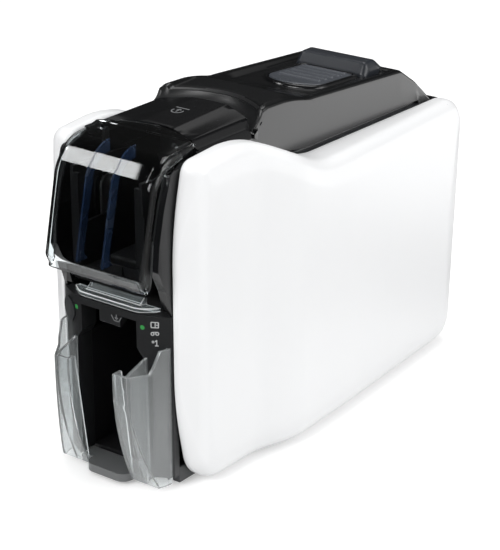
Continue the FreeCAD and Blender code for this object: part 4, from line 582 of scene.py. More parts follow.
# The outline, split at its front and rear middles into an upper and a lower half of even steps
def sideRing():
    path = roundedPath(sideCover["profile"], 0.4, closed=True)
    dense = evenly(path, sideCover["denseCount"])[:-1]
    frontY, frontZ = sideCover["frontMid"]
    frontMid = int(np.argmin(np.hypot(dense[:, 0] - frontY, dense[:, 1] - frontZ)))
    dense = np.roll(dense, -frontMid, axis=0)
    rearZ, weight = sideCover["rearMid"]
    rearMid = int(np.argmax(dense[:, 0] - np.abs(dense[:, 1] - rearZ) * weight))
    half = sideCover["halfCount"]
    first = evenly(dense[:rearMid + 1], half + 1)
    second = evenly(np.vstack([dense[rearMid:], dense[:1]]), half + 1)
    return np.vstack([first[:-1], second[:-1]])


ring = sideRing()


# Outward directions of a closed outline: the way from one neighbour to the other, turned a quarter
def ringNormals(path):
    along = np.roll(path, -1, axis=0) - np.roll(path, 1, axis=0)
    along /= np.linalg.norm(along, axis=1)[:, None]
    normal = np.stack([along[:, 1], -along[:, 0]], 1)
    outward = ((path - path.mean(0)) * normal).sum(1).mean()
    return normal if outward > 0 else -normal


# The rim profile is carried round the outline: lip arc, straight wall, rim arc, then the side face
# closes on a spine; everywhere on the face x is the plan's own curve at that y, less the band
def sideCoverPoints():
    normal = ringNormals(ring)
    seam, steps = sideCover["seam"], sideCover["steps"]
    reach = planX(ring[:, 0]) - seam - bandFall(0.0)
    lip = np.minimum(sideCover["lip"], sideCover["lipShare"] * reach)
    rim = np.minimum(sideCover["rim"], sideCover["rimShare"] * reach)
    columns = []
    for angle in np.linspace(0, math.pi / 2, steps["lip"]):
        inset = lip * (1 - math.sin(angle))
        columns.append(atX(seam + lip * (1 - math.cos(angle)), ring - normal * inset[:, None]))
    for share in np.linspace(0, 1, steps["wall"])[1:-1]:
        columns.append(atX(seam + lip + (reach - lip - rim) * share, ring))
    for angle in np.linspace(0, math.pi / 2, steps["rim"]):
        inset = rim * (1 - math.cos(angle))
        place = ring - normal * inset[:, None]
        columns.append(atX(planX(place[:, 0]) - rim * (1 - math.sin(angle)) - bandFall(inset),
                           place))
    half = sideCover["halfCount"]
    order = np.arange(2 * half)
    along = np.where(order <= half, order, 2 * half - order) / half
    edge = sideCover["spineShare"]
    share = np.clip((along - edge) / (1 - 2 * edge), 0, 1)[:, None]
    front, rear = (np.array(end) for end in sideCover["spine"])
    spine = front * (1 - share) + rear * share
    base = ring - normal * rim[:, None]
    span = np.linalg.norm(spine - base, axis=1)
    for step in np.linspace(0, 1, steps["face"])[1:] ** sideCover["spinePower"]:
        place = base * (1 - step) + spine * step
        columns.append(atX(planX(place[:, 0]) - bandFall(rim + span * step), place))
    return np.stack(columns, 1)


# Both covers from one grid of points, mirrored for the left one
def makeSideCovers():
    points = sideCoverPoints()
    for side, name in ((1, "right"), (-1, "left")):
        turned = points * np.array([side, 1, 1])
        mesh = buildMesh(name + "CoverSkin", [(turned, True, False, None)], sharp=50.0)
        faceTowards(mesh, 0, side)
        addPiece(name + "CoverSkin", mesh, "whiteShell", "chassis",
                 [name + "_side_cover"], solid=sideCover["wall"], bevel=sideCover["bevel"],
                 limit=50.0, lining="deepBlack")
    print("side covers ready")


makeSideCovers()

# Top cover
topCover = {
    "length": [(-75.0, 246.7, 0), (-26.0, 246.7, 12.0), (2.0, 238.2, 40.0), (119.0, 229.8, 8.0),
               (140.0, 216.4, 30.0), (161.27, 198.65, 0)],
    "crownFront": (-80.0, 250.5, 12.5),     # place, side height and shoulder rounding
    "crownRear": (6.0, 238.8, 2.0),
    "crownTop": 248.0,
    "crownHalf": 48.8,
    "cornerHalf": 45.2,
    "rearLift": 0.5,
    "crease": 5.0,
    "dishFloor": [(-10.0, 242.5, 0), (24.0, 231.6, 20.0), (112.0, 226.8, 0), (140.0, 225.3, 0)],
    "dishSide": (37.2, 41.0),
    "dishRear": (108.5, 113.0),
    "scoopLow": (-49.5, -66.5, 231.0),
    "scoopHigh": (-28.0, -54.5, 248.7),
    "scoopHollow": 1.6,
    "narrowPower": 0.7,
    "crestRound": (1.5, 8.0),
    "sweep": (13.5, 229.3, 2.2),     # how far the side's front edge sweeps, how low, how late
    "lean": 42.0,
    "edgeTop": 44.8,
    "edgeLow": 46.8,
    "edgeRadius": 2.6,
    "gap": 2.0,
    "upperZ": 185.0,
    "search": (60, 0.4),             # steps and stride of the search for the crest
    "wall": 2.2,
    "bevel": 0.7,
    "hinge": (158.0, 194.6),
    "barrel": 5.2,
    "arc": (46, -95, 14),            # degrees and rows of the turn about the hinge
    "tail": (141.0, 5.0, 190.0),     # where the lower edge drops at the rear, its run and height
    "panelLeast": 0.1,               # least height of the side panel below its rounded edge
    "arcPanel": (1.0, 0.01, 0.2),    # behind the hinge: how far forward it ends, its least and lift
    "roundBelow": 4.0,               # the edge's rounding flattens where the panel is lower
    "hollowBelow": 8.0,              # and the scoop's hollow where the crest is lower
    "steps": {"edge": 6, "panel": 16, "foot": 8, "scoop": 22},
    "holeLow": 215.0,
    "holeMargin": 1.6,
    "lipFacing": -0.25,
    "lipRear": -18.0,
    "columns": 95,
    "rows": 215,
}
lengthPath = roundedPath(topCover["length"], 0.4)
floorPath = roundedPath(topCover["dishFloor"], 0.4)


# Height of the dish's floor at a place along the printer
def dishFloor(y):
    return np.interp(y, floorPath[:, 0], floorPath[:, 1])


# Height of the cover's top: the length profile under a crown arc, less the dish inside its walls
def coverTop(x, y):
    profile = np.interp(y, lengthPath[:, 0], lengthPath[:, 1])
    near, far = topCover["crownFront"], topCover["crownRear"]
    run = np.clip((y - near[0]) / (far[0] - near[0]), 0, 1)
    side = near[1] + (far[1] - near[1]) * run
    corner = near[2] + (far[2] - near[2]) * run
    crown = topCover["crownTop"] - (topCover["crownTop"] - side) * (x / topCover["crownHalf"]) ** 2
    past = np.clip(np.abs(x) - (topCover["cornerHalf"] - corner), 0, corner)
    crown = crown - corner + np.sqrt(corner ** 2 - past ** 2)
    crown = crown + np.maximum(y - far[0], 0) * topCover["rearLift"]
    base = softMin(profile, crown, topCover["crease"])
    inner, outer = topCover["dishSide"]
    across = smoothStep((outer - np.abs(x)) / (outer - inner))
    low, high = topCover["dishRear"]
    along = smoothStep((high - y) / (high - low))
    return base - across * along * np.maximum(base - dishFloor(y), 0)


# A line across the scoop, which moves back or forward with the square of x
def scoopLine(x, key):
    middle, side = topCover[key][:2]
    return middle + (side - middle) * (x / topCover["crownHalf"]) ** 2


# Crest of the lip: where the slanted scoop meets the top, found by stepping y towards the meeting
def crestLine(x):
    low, high = scoopLine(x, "scoopLow"), scoopLine(x, "scoopHigh")
    rise = topCover["scoopHigh"][2] - topCover["scoopLow"][2]
    y = high.copy()
    count, stride = topCover["search"]
    for step in range(count):
        share = np.clip((coverTop(x, y) - topCover["scoopLow"][2]) / rise, 0, 1)
        y = y + stride * (low + share * (high - low) - y)
    return y


# Lower edge of the cover: the side covers' outline moved out by the reveal
def coverLow(y):
    upper = ring + ringNormals(ring) * topCover["gap"]
    upper = upper[upper[:, 1] > topCover["upperZ"]]
    order = np.argsort(upper[:, 0])
    return np.interp(y, upper[order, 0], upper[order, 1])


buttonPad = {
    "outline": [(-22.5, 90.0, 3.0), (-22.5, 43.0, 12.0), (0.0, 33.5, 30.0), (22.5, 43.0, 12.0),
                (22.5, 90.0, 3.0)],
    "gap": 0.6,
    "rimSection": [(0.0, -6.0, 0), (0.0, 1.9, 0.9), (2.2, 2.2, 1.6), (3.9, 0.0, 0.8),
                   (3.6, -3.0, 0)],
    "frontRise": 2.6,
    "rearRise": 1.6,
    "front": 33.5,
    "rear": 90.0,
    "depth": 5.5,
    "rounding": 1.0,
    "spine": (56.0, 82.0),
    "ridges": 5,
    "ridgePitch": 8.0,
    "ridgeRise": 1.1,
    "ridgeWidth": 1.5,
    "ridgeHalf": 19.5,
    "steps": {"outline": 241, "rim": 26, "skirt": 5, "edge": 6, "top": 42},
}
padPath = evenly(roundedPath(buttonPad["outline"], 0.3, closed=True),
                 buttonPad["steps"]["outline"])[:-1]
padNormal = ringNormals(padPath)


# Whether each point lies in the button's outline: it does where a ray crosses an odd number of runs
def insidePad(x, y, grow):
    outline = padPath + padNormal * grow
    crossings = np.zeros(x.shape, int)
    for (ax, ay), (bx, by) in zip(outline, np.roll(outline, -1, axis=0)):
        if ay != by:
            spans = (ay > y) != (by > y)
            crossings += spans & (x < ax + (y - ay) * (bx - ax) / (by - ay))
    return crossings % 2 == 1


# The top from the crest to its rear end, then turned about the hinge and under the barrel
def topRows(x):
    crest = crestLine(x)[None, :]
    share = np.linspace(0, 1, topCover["rows"])[:, None]
    y = crest + (topCover["length"][-1][0] - crest) * share
    drop, width = topCover["crestRound"]
    z = coverTop(x, y) - drop * (1 - smoothStep((y - crest) / width)) ** 2
    (hingeY, hingeZ), barrel = topCover["hinge"], topCover["barrel"]
    angles = np.radians(np.linspace(*topCover["arc"]))[:, None]
    arcY = hingeY + barrel * np.cos(angles) + 0 * crest
    arcZ = hingeZ + barrel * np.sin(angles) + 0 * crest
    y, z = np.vstack([y, arcY]), np.vstack([z, arcZ])
    return np.stack([np.broadcast_to(x, y.shape), y, z], -1)


# Side panel: a quarter circle off the top's edge, then a curve down to the side covers' outline.
# Its front edge sweeps forward as it falls, and straightens further back
def sidePanel(edge, rowY, rowZ):
    radius, arcRows, steps = topCover["edgeRadius"], topCover["arc"][2], topCover["steps"]
    hingeY, hingeZ = topCover["hinge"]
    forward, least, lifted = topCover["arcPanel"]
    start, run, height = topCover["tail"]
    tail = smoothStep((rowY - start) / run)
    lowY = rowY.copy()
    lowZ = coverLow(rowY) * (1 - tail) + height * tail
    lowY[-arcRows:] = hingeY - forward
    lowZ[-arcRows:] = hingeZ - topCover["barrel"]
    lowZ = np.minimum(lowZ, rowZ - radius - topCover["panelLeast"])
    lowZ[-arcRows:] = np.minimum(rowZ[-arcRows:] - least, lowZ[-arcRows:] + lifted)
    room = np.minimum(1, (rowZ - lowZ) / topCover["roundBelow"])
    columns = []
    for angle in np.linspace(0, math.pi / 2, steps["edge"])[1:]:
        z = rowZ - radius * (1 - math.cos(angle)) * room
        columns.append(atX(edge + radius * math.sin(angle), np.column_stack([rowY, z])))
    startZ = columns[-1][:, 2]
    near, far = topCover["edgeTop"], topCover["edgeLow"]
    for step in np.linspace(0, 1, steps["panel"])[1:]:
        x = near + (far - near) * (1 - math.cos(step * math.pi / 2))
        columns.append(atX(x, np.column_stack([rowY + (lowY - rowY) * step,
                                               startZ + (lowZ - startZ) * step])))
    panel = np.stack(columns, 1)
    reach, lowest, power = topCover["sweep"]
    fallen = np.clip((rowZ[0] - panel[..., 2]) / (rowZ[0] - lowest), 0, 1)
    fade = 1 - smoothStep((panel[..., 1] - rowY[0]) / topCover["lean"])
    panel[..., 1] -= reach * fallen ** power * fade
    return panel


# Scoop wall: from the foot arc to the skin's front edge, slightly hollow; below the foot it drops
def scoopWall(frontEdge, cornerZ):
    x, crestY, crestZ = frontEdge.T
    lowest, power = topCover["sweep"][1], topCover["narrowPower"]
    narrow = np.clip((crestZ - lowest) / (cornerZ - lowest), 0, 1) ** power
    footY = crestY + (scoopLine(x, "scoopLow") - crestY) * narrow
    footZ = crestZ + (np.minimum(topCover["scoopLow"][2], crestZ) - crestZ) * narrow
    bottom = np.minimum(coverLow(footY), footZ)
    depth = np.clip((crestZ - footZ) / topCover["hollowBelow"], 0, 1)
    rows = []
    for step in np.linspace(0, 1, topCover["steps"]["foot"])[:-1]:
        rows.append(np.stack([x, footY, bottom + (footZ - bottom) * step], 1))
    for step in np.linspace(0, 1, topCover["steps"]["scoop"]):
        hollow = topCover["scoopHollow"] * math.sin(step * math.pi) * depth
        rows.append(np.stack([x, footY + (crestY - footY) * step + hollow,
                              footZ + (crestZ - footZ) * step - 0.5 * hollow], 1))
    return np.stack(rows, 0)


# Top, mirrored side panels and scoop in one mesh, with the button's hole left out of the top
def makeTopCover():
    edge = topCover["edgeTop"] - topCover["edgeRadius"]
    top = topRows(np.linspace(-edge, edge, topCover["columns"]))
    right = sidePanel(edge, top[:, -1, 1], top[:, -1, 2])
    skin = np.concatenate([right[:, ::-1] * np.array([-1, 1, 1]), top, right], 1)
    middle = (skin[:-1, :-1] + skin[1:, 1:]) / 2
    hole = insidePad(middle[..., 0], middle[..., 1], buttonPad["gap"] + topCover["holeMargin"])
    hole &= middle[..., 2] > topCover["holeLow"]
    scoop = scoopWall(skin[0], top[0, -1, 2])
    mesh = buildMesh("topCoverSkin", [(skin, False, False, ~hole), (scoop, False, False, None)],
                     sharp=38.0)
    faceTowards(mesh, 2, 1)
    addPiece("topCoverSkin", mesh, "coverSatin", "cover", ["top_cover"],
             solid=topCover["wall"], bevel=topCover["bevel"], segments=3, limit=40.0,
             second="lipLitSatin")
    # faces of the lip that look forward take the second finish; its lighter colour is painted light
    # on the lip
    useSecond(mesh, (faceRows(mesh, "normal")[:, 1] < topCover["lipFacing"])
              & (faceRows(mesh, "center")[:, 1] < topCover["lipRear"] * mm))
    print("top cover ready")


makeTopCover()


# Rim of the button's pod: a rounded section carried round the button's outline
def makeButtonRim():
    section = [(buttonPad["gap"] + out, up, radius) for out, up, radius in buttonPad["rimSection"]]
    section = evenly(roundedPath(section, 0.2), buttonPad["steps"]["rim"])
    place = padPath[:, None, :] + padNormal[:, None, :] * section[None, :, :1]
    z = dishFloor(place[..., 1]) + section[None, :, 1]
    points = np.concatenate([place, z[..., None]], -1)
    mesh = buildMesh("buttonRim", [(points, True, False, None)], sharp=60.0)
    faceTowards(mesh, 2, 1)
    addPiece("buttonRim", mesh, "darkGloss", "cover")


makeButtonRim()


# The button's plain height falls evenly to the rear; each ridge adds a bell across it
def padTop(x, y, ridged=True):
    frontY, rearY = buttonPad["front"], buttonPad["rear"]
    front = dishFloor(np.array(frontY)) + buttonPad["frontRise"]
    rear = dishFloor(np.array(rearY)) + buttonPad["rearRise"]
    z = rear + (front - rear) * ((rearY - y) / (rearY - frontY))
    width = buttonPad["ridgeWidth"]
    across = smoothStep((buttonPad["ridgeHalf"] - np.abs(x)) / width)
    for number in range(buttonPad["ridges"] if ridged else 0):
        middle = rearY - buttonPad["ridgePitch"] * (number + 0.5)
        z = z + buttonPad["ridgeRise"] * np.exp(-((y - middle) / width) ** 2) * across
    return z


# Release button: rings from the skirt over a rounded edge to a spine
def makeButton():
    rings = []
    soft, steps = buttonPad["rounding"], buttonPad["steps"]
    x, y = padPath.T
    for depth in np.linspace(-buttonPad["depth"], -soft, steps["skirt"]):
        rings.append(np.stack([x, y, padTop(x, y, ridged=False) + depth], 1))
    for angle in np.linspace(0, math.pi / 2, steps["edge"])[1:]:
        x, y = (padPath - padNormal * soft * (1 - math.cos(angle))).T
        rings.append(np.stack([x, y, padTop(x, y) - soft + soft * math.sin(angle)], 1))
    base = padPath - padNormal * soft
    spineY = np.clip(base[:, 1], *buttonPad["spine"])
    for step in np.linspace(0, 1, steps["top"])[1:]:
        x = base[:, 0] * (1 - step)
        y = base[:, 1] * (1 - step) + spineY * step
        rings.append(np.stack([x, y, padTop(x, y)], 1))
    mesh = buildMesh("releasePad", [(np.stack(rings, 1), True, False, None)], sharp=60.0)
    faceTowards(mesh, 2, 1)
    addPiece("releasePad", mesh, "buttonSatin", "cover_button", ["release_button"])


makeButton()

raisedBlock = {
    "section": [(91.0, 226.5, 0), (91.4, 230.2, 1.5), (96.2, 238.0, 3.0), (108.0, 238.0, 7.0),
                (121.5, 227.0, 0)],
    "centre": (104.0, 226.5),
    "half": 31.5,
    "end": 5.0,
    "endDepth": 0.80,
    "steps": {"section": 46, "end": 12, "middle": 30},
}


# Raised block: its section is carried across the cover and shrinks on a quarter circle at each end
def makeRaisedBlock():
    steps = raisedBlock["steps"]
    section = evenly(roundedPath(raisedBlock["section"], 0.3), steps["section"])
    start = raisedBlock["half"] - raisedBlock["end"]
    quarter = np.sin(np.linspace(0, math.pi / 2, steps["end"])) * raisedBlock["end"]
    x = np.concatenate([-start - quarter[::-1],
                        np.linspace(-start, start, steps["middle"])[1:-1], start + quarter])
    past = np.clip((np.abs(x) - start) / raisedBlock["end"], 0, 1)
    size = np.sqrt(np.maximum(1 - past ** 2, 0))[:, None]
    centreY, centreZ = raisedBlock["centre"]
    depth = raisedBlock["endDepth"]
    points = np.zeros((len(x), len(section), 3))
    points[..., 0] = x[:, None]
    points[..., 1] = centreY + (section[None, :, 0] - centreY) * (depth + (1 - depth) * size)
    points[..., 2] = centreZ + (section[None, :, 1] - centreZ) * size
    mesh = buildMesh("coverBlock", [(points, False, False, None)], sharp=50.0)
    faceTowards(mesh, 2, 1)
    addPiece("coverBlock", mesh, "blockSatin", "cover")
    print("button and block ready")


makeRaisedBlock()

# Feeder door
feederDoor = {
    "profile": [(-173.4, 148.5, 0), (-178.4, 158.5, 6.0), (-165.3, 218.5, 27.0),
                (-151.0, 234.5, 20.0), (-121.5, 238.0, 0)],
    "rearRim": [(-172.2, 149.2, 0), (-168.5, 151.0, 4.0), (-166.5, 163.0, 5.0),
                (-165.0, 180.0, 30.0), (-160.0, 202.0, 30.0), (-152.0, 226.0, 5.0),
                (-121.5, 235.0, 2.0), (-121.0, 236.0, 0)],
    "count": 150,
    "half": 42.5,
    "corner": 5.0,
    "cornerRoom": 1.4,
    "wall": 2.2,
    "bevel": 0.45,
    "seam": (-107.5, -121.5, 40.5),     # the top's rear edge in the middle and at this half width
    "seamEnd": 1.02,                    # the seam runs straight past this share of that width
    "seamGap": 0.4,
    "hinge": (-126.0, 232.3),
    "barrel": 4.2,
    "knuckle": (36.5, 41.4),
    "knuckleTop": 236.6,
    "knuckleSoft": 0.5,
    "knuckleTail": (2.0, 1.2),          # how far it reaches forward above and below, in barrels
    "knuckleRounds": (5.0, 4.0),
    "steps": {"wall": 12, "corner": 9, "face": 16, "top": 9, "knuckle": 60},
}


# Hinge knuckles: a teardrop section, round below and flat where it meets the top, with soft ends
def makeKnuckles():
    (hingeY, hingeZ), barrel = feederDoor["hinge"], feederDoor["barrel"]
    top, soft = feederDoor["knuckleTop"], feederDoor["knuckleSoft"]
    near, far = feederDoor["knuckle"]
    above, below = feederDoor["knuckleTail"]
    first, second = feederDoor["knuckleRounds"]
    section = roundedPath([(hingeY + barrel, top, soft), (hingeY - above * barrel, top, soft),
                           (hingeY - below * barrel, hingeZ - barrel, first),
                           (hingeY + barrel, hingeZ - barrel, second)], 0.3, closed=True)
    section = evenly(section, feederDoor["steps"]["knuckle"])[:-1]
    middle = section.mean(0)
    end = 1 - soft / barrel
    rows = [(near, 0.0), (near, end), (near + soft, 1.0), (far - soft, 1.0), (far, end), (far, 0.0)]
    for side, name in ((1, "rightKnuckle"), (-1, "leftKnuckle")):
        grid = np.stack([atX(side * x, middle + (section - middle) * size) for x, size in rows])
        mesh = buildMesh(name, [(grid, False, True, None)], sharp=40.0)
        recalcNormals(mesh)
        addPiece(name, mesh, "deepBlack", "door")


# Clear door: the side profile is carried across the width; at each side the surface turns through a
# quarter circle into a side wall that ends on the rear rim, and the top runs on to a bowed seam
def makeDoor():
    count, corner, steps = feederDoor["count"], feederDoor["corner"], feederDoor["steps"]
    outer = evenly(roundedPath(feederDoor["profile"], 0.3), count)
    rear = evenly(roundedPath(feederDoor["rearRim"], 0.3), count)
    along = np.gradient(outer, axis=0)
    along /= np.linalg.norm(along, axis=1)[:, None]
    inward = np.stack([along[:, 1], -along[:, 0]], 1)
    room = np.linalg.norm(rear - outer, axis=1) / (corner * feederDoor["cornerRoom"])
    depth = corner * np.minimum(1.0, room)
    start = feederDoor["half"] - corner
    columns = []
    base = outer + inward * depth[:, None]
    for step in np.linspace(0, 1, steps["wall"])[:-1]:
        columns.append(atX(feederDoor["half"], rear + (base - rear) * step))
    for angle in np.linspace(0, math.pi / 2, steps["corner"]):
        columns.append(atX(start + corner * math.cos(angle),
                           outer + inward * (depth * (1 - math.sin(angle)))[:, None]))
    for x in np.linspace(start, 0, steps["face"])[1:]:
        columns.append(atX(x, outer))
    half = np.stack(columns, 1)
    whole = np.concatenate([half, half[:, ::-1][:, 1:] * np.array([-1, 1, 1])], 1)
    middle, side, sideX = feederDoor["seam"]
    last = whole[-1]
    bow = np.clip(np.abs(last[:, 0]) / sideX, 0, feederDoor["seamEnd"]) ** 2
    seam = middle + (side - middle) * bow
    reach = np.maximum(seam - feederDoor["seamGap"] - last[:, 1], 0)
    share = np.linspace(0, 1, steps["top"])[1:, None, None]
    whole = np.concatenate([whole, last + share * reach[:, None] * np.array([0, 1, 0])], 0)
    mesh = buildMesh("doorVisor", [(whole, False, False, None)], sharp=60.0)
    faceTowards(mesh, 1, -1)
    # the door's softened edges carry the painted edge highlight
    addPiece("doorVisor", mesh, "clearDoor", "door", ["feeder_door"],
             solid=feederDoor["wall"], bevel=feederDoor["bevel"], limit=50.0, highlightFinish="paintedEdgeHighlight")
    makeKnuckles()
    print("door ready")


makeDoor()

capForm = {
    "half": 46.8,
    "flat": ((0.0, 31.0, 42.0, 46.8), (0.0, 0.0, 4.5, 13.5)),       # half width and plain fall
    "creased": ((0.0, 14.0, 37.5, 46.8), (0.0, 0.0, 2.6, 13.5)),    # with its creases further in
    "cuts": (13.0, 13.6, 14.4, 15.0, 20.0, 26.0, 36.3, 36.9, 38.1, 38.7),
    "rows": (-118.0, -104.0, -90.0, -80.0, -71.0, -63.0, -56.0),
    "fade": (214.0, 12.0),
    "rearPull": 5.5,
    "rearFade": (-88.0, 22.0),
}


# The cap's top falls from two creases, and its rear edge bows further forward at the sides
def shapeCap(mesh):
    planes = [((side * x * mm, 0, 0), (1, 0, 0)) for x in capForm["cuts"] for side in (-1, 1)]
    planes += [((0, y * mm, 0), (0, 1, 0)) for y in capForm["rows"]]
    with meshWork(mesh) as work:
        for place, facing in planes:
            parts = work.verts[:] + work.edges[:] + work.faces[:]
            bmesh.ops.bisect_plane(work, geom=parts, dist=1e-7, plane_co=place, plane_no=facing)
    points = readPoints(mesh)
    across = np.abs(points[:, 0])
    change = np.interp(across, *capForm["flat"]) - np.interp(across, *capForm["creased"])
    low, span = capForm["fade"]
    points[:, 2] += change * smoothStep((points[:, 2] - low) / span)
    front, run = capForm["rearFade"]
    late = smoothStep((points[:, 1] - front) / run)
    points[:, 1] -= capForm["rearPull"] * (across / capForm["half"]) ** 2 * late
    writePoints(mesh, points)


lipForm = {"narrow": 0.84, "rear": -150.0, "depth": 0.74, "rise": 1.2, "run": 6.0}


# The feed lip's front edge is drawn back and its sides in
def shapeLip(mesh):
    points = readPoints(mesh)
    rear = lipForm["rear"]
    points[:, 0] *= lipForm["narrow"]
    points[:, 1] = rear + (points[:, 1] - rear) * lipForm["depth"]
    points[:, 2] += lipForm["rise"] * smoothStep((rear - points[:, 1]) / lipForm["run"])
    writePoints(mesh, points)


shapers = {"front_cap": shapeCap, "manual_feed_lip": shapeLip}
copyForm = {"sharp": 32.0, "flat": 0.6, "merge": 0.002}


# Copies of nodes with merged faces, soft edges and, for two of them, a finer shape
def finishedCopy(node, name, material, body, slot, bevel):
    mesh = nodes[node].data.copy()
    mesh.name = name
    with meshWork(mesh) as work:
        bmesh.ops.remove_doubles(work, verts=work.verts, dist=copyForm["merge"] * mm)
        bmesh.ops.dissolve_limit(work, angle_limit=math.radians(copyForm["flat"]),
                                 verts=work.verts, edges=work.edges)
    if node in shapers:
        shapers[node](mesh)
    smoothFaces(mesh, copyForm["sharp"])
    # clear copies carry the painted edge highlight on their softened edges
    addPiece(name, mesh, material, body, [node], bevel=bevel, limit=copyForm["sharp"],
             highlightFinish="paintedEdgeHighlight" if material in ("clearWing", "clearLip") else "")


outerCopies = {
    "front_cap": ("frontCap", "darkGloss", "chassis", "dark_gloss", 0.55),
    "front_bezel": ("bezel", "bezelSatin", "chassis", "dark_shell", 0.4),
    "base_tray": ("baseTray", "darkShell", "chassis", "dark_shell", 0.4),
    "rear_cover": ("rearCover", "darkShell", "chassis", "dark_shell", 0.4),
    "left_hopper_wing": ("leftWing", "clearWing", "chassis", "clear_smoke", 0.75),
    "right_hopper_wing": ("rightWing", "clearWing", "chassis", "clear_smoke", 0.75),
    "manual_feed_lip": ("feedLip", "clearLip", "chassis", "clear_smoke", 0.6),
    "output_hopper": ("outputHopper", "innerBlack", "chassis", "black_inner", 0.3),
    "card_hopper": ("cardHopper", "deepBlack", "chassis", "black_inner", 0.3),
    "card_weight": ("cardWeight", "deepBlack", "hopper_weight", "black_inner", 0.3),
    "power_button": ("powerKey", "darkShell", "power_key", "dark_shell", 0.35),
    "door_ribs": ("doorRibs", "ribBlue", "door", "clear_smoke", 0.2),
    "rubber_feet": ("feet", "rollerRubber", "chassis", "black_rubber", 0.3),
}
for node, settings in outerCopies.items():
    finishedCopy(node, *settings)

tongue = {"rear": -156.0, "half": 27.0}


# The tray's tongue in front of the hopper has a paler finish than the rest
def paleTongue():
    mesh = bpy.data.objects["baseTray"].data
    mesh.materials.append(materials["trayGrey"])
    middles = faceRows(mesh, "center") / mm
    useSecond(mesh, (middles[:, 1] < tongue["rear"]) & (np.abs(middles[:, 0]) < tongue["half"]))


paleTongue()
print("finished copies ready")

plainNodes = {
    "darkShell": ["cover_sills"],
    "innerBlack": ["cover_liner", "cover_latch", "card_guide_plate", "power_inlet"],
    "ribbonFrame": ["ribbon_cartridge", "supply_spool", "take_up_spool"],
    "ribbonDye": ["ribbon_film", "supply_ribbon_roll", "take_up_ribbon_roll"],
    "rollerRubber": ["pick_roller", "front_feed_roller", "platen_roller", "rear_feed_roller",
                     "exit_roller", "cleaning_roller", "pinch_roller"],
    "steelPlate": ["left_frame_plate", "right_frame_plate", "frame_bars", "cover_screws",
                   "usb_socket"],
    "steelShaft": ["pick_shaft", "front_feed_shaft", "platen_shaft", "rear_feed_shaft",
                   "exit_shaft", "door_hinge_pins", "cover_hinge_pins", "idler_studs",
                   "motor_pinion", "button_spring"],
    "gearPlastic": ["front_idler_gear", "rear_idler_gear", "link_gear"],
    "bushBronze": ["shaft_bushes"],
    "headAlloy": ["print_head_bracket"],
    "headBody": ["print_head"],
    "motorCan": ["drive_motor"],
    "boardGreen": ["circuit_board"],
    "lampGreen": ["light_pipes"],
}
for material, members in plainNodes.items():
    for member in members:
        data = nodes[member].data
        data.materials.clear()
        data.materials.append(materials[material])
print("carried nodes finished")


# Strokes of a mark, each as its two ends and its width
def strokeBox(right, up, width):
    corners = [(-right, -up), (right, -up), (right, up), (-right, up)]
    return [(*corners[k], *corners[(k + 1) % 4], width) for k in range(4)]


def strokeArc(middleU, middleV, radius, first, last, width, count=10):
    angles = np.radians(np.linspace(first, last, count + 1))
    u, v = middleU + radius * np.cos(angles), middleV + radius * np.sin(angles)
    return [(u[k], v[k], u[k + 1], v[k + 1], width) for k in range(count)]


# Pictograms, as thin printed marks on the surfaces
marks = {
    "thick": 0.12,
    "proud": 0.05,
    "capPlace": (-6.0, -78.0),
    "capRear": (-50.0, 240.5),       # the cap's top at its rear end
    "capSlope": 2.5 / 71.5,          # and how it falls from there to the front
    "cap": strokeArc(0, -1.0, 4.2, 160, 380, 0.9, 14) + [
        (-5.5, 4.6, 5.5, 4.6, 0.9), (0, -3.2, 0, 2.2, 0.9), (-1.8, 0.4, 0, 2.2, 0.8),
        (1.8, 0.4, 0, 2.2, 0.8)],
    "exitPlace": (7.0, -162.36, 119.6),
    "exit": [(-4.4, 1.6, -2.0, -2.0, 0.7), (-2.0, -2.0, 2.0, -2.0, 0.7),
             (2.0, -2.0, 4.4, 1.6, 0.7), (0.0, 2.6, 0.0, -0.6, 0.7),
             (-1.3, 0.6, 0.0, -0.8, 0.7), (1.3, 0.6, 0.0, -0.8, 0.7)],
    "bezelX": 36.6,
    "bezelSize": (0.72, 0.86),
    "bezel": {
        "cardMark": (121.2, strokeBox(3.0, 2.2, 0.8) + [
            (0.4, -2.2, 0.4, 2.2, 0.7), (1.2, 0.0, 2.4, 0.0, 0.7)]),
        "spoolMark": (114.8, strokeArc(-1.9, 0.0, 1.25, 0, 360, 0.8)
                      + strokeArc(1.9, 0.3, 1.25, 0, 360, 0.8) + [(-1.9, 1.3, 1.9, 1.6, 0.6)]),
        "cleanMark": (108.2, strokeArc(-1.6, 0.9, 0.8, 0, 360, 0.7, 8) + [
            (1.4, 2.6, 1.4, -2.4, 0.8), (0.0, -2.2, 2.8, -2.2, 0.8), (0.2, 1.2, 1.4, 2.6, 0.7)]),
    },
    "rayStart": -300.0,
    "stations": (33.6, 39.6, 49),
}


# Each stroke is a thin box: its two ends moved to each side by half its width, at two levels
def markMesh(name, strokes, origin, axisU, axisV, normal):
    table = np.array(strokes, float)
    first, last = table[:, 0:2], table[:, 2:4]
    along = last - first
    along /= np.linalg.norm(along, axis=1)[:, None]
    side = np.stack([-along[:, 1], along[:, 0]], 1) * table[:, 4:] / 2
    flat = np.stack([first + side, first - side, last - side, last + side], 1)
    flat = flat @ np.array([axisU, axisV], float) + np.array(origin)
    points = np.stack([flat, flat + np.array(normal) * marks["thick"]], 1).reshape(-1, 3)
    box = np.array([(0, 1, 2, 3), (7, 6, 5, 4), (0, 4, 5, 1), (1, 5, 6, 2), (2, 6, 7, 3),
                    (3, 7, 4, 0)])
    faces = (np.arange(len(table))[:, None, None] * 8 + box).reshape(-1, 4)
    mesh = bpy.data.meshes.new(name)
    mesh.from_pydata((points * mm).tolist(), [], faces.tolist())
    recalcNormals(mesh)
    return mesh


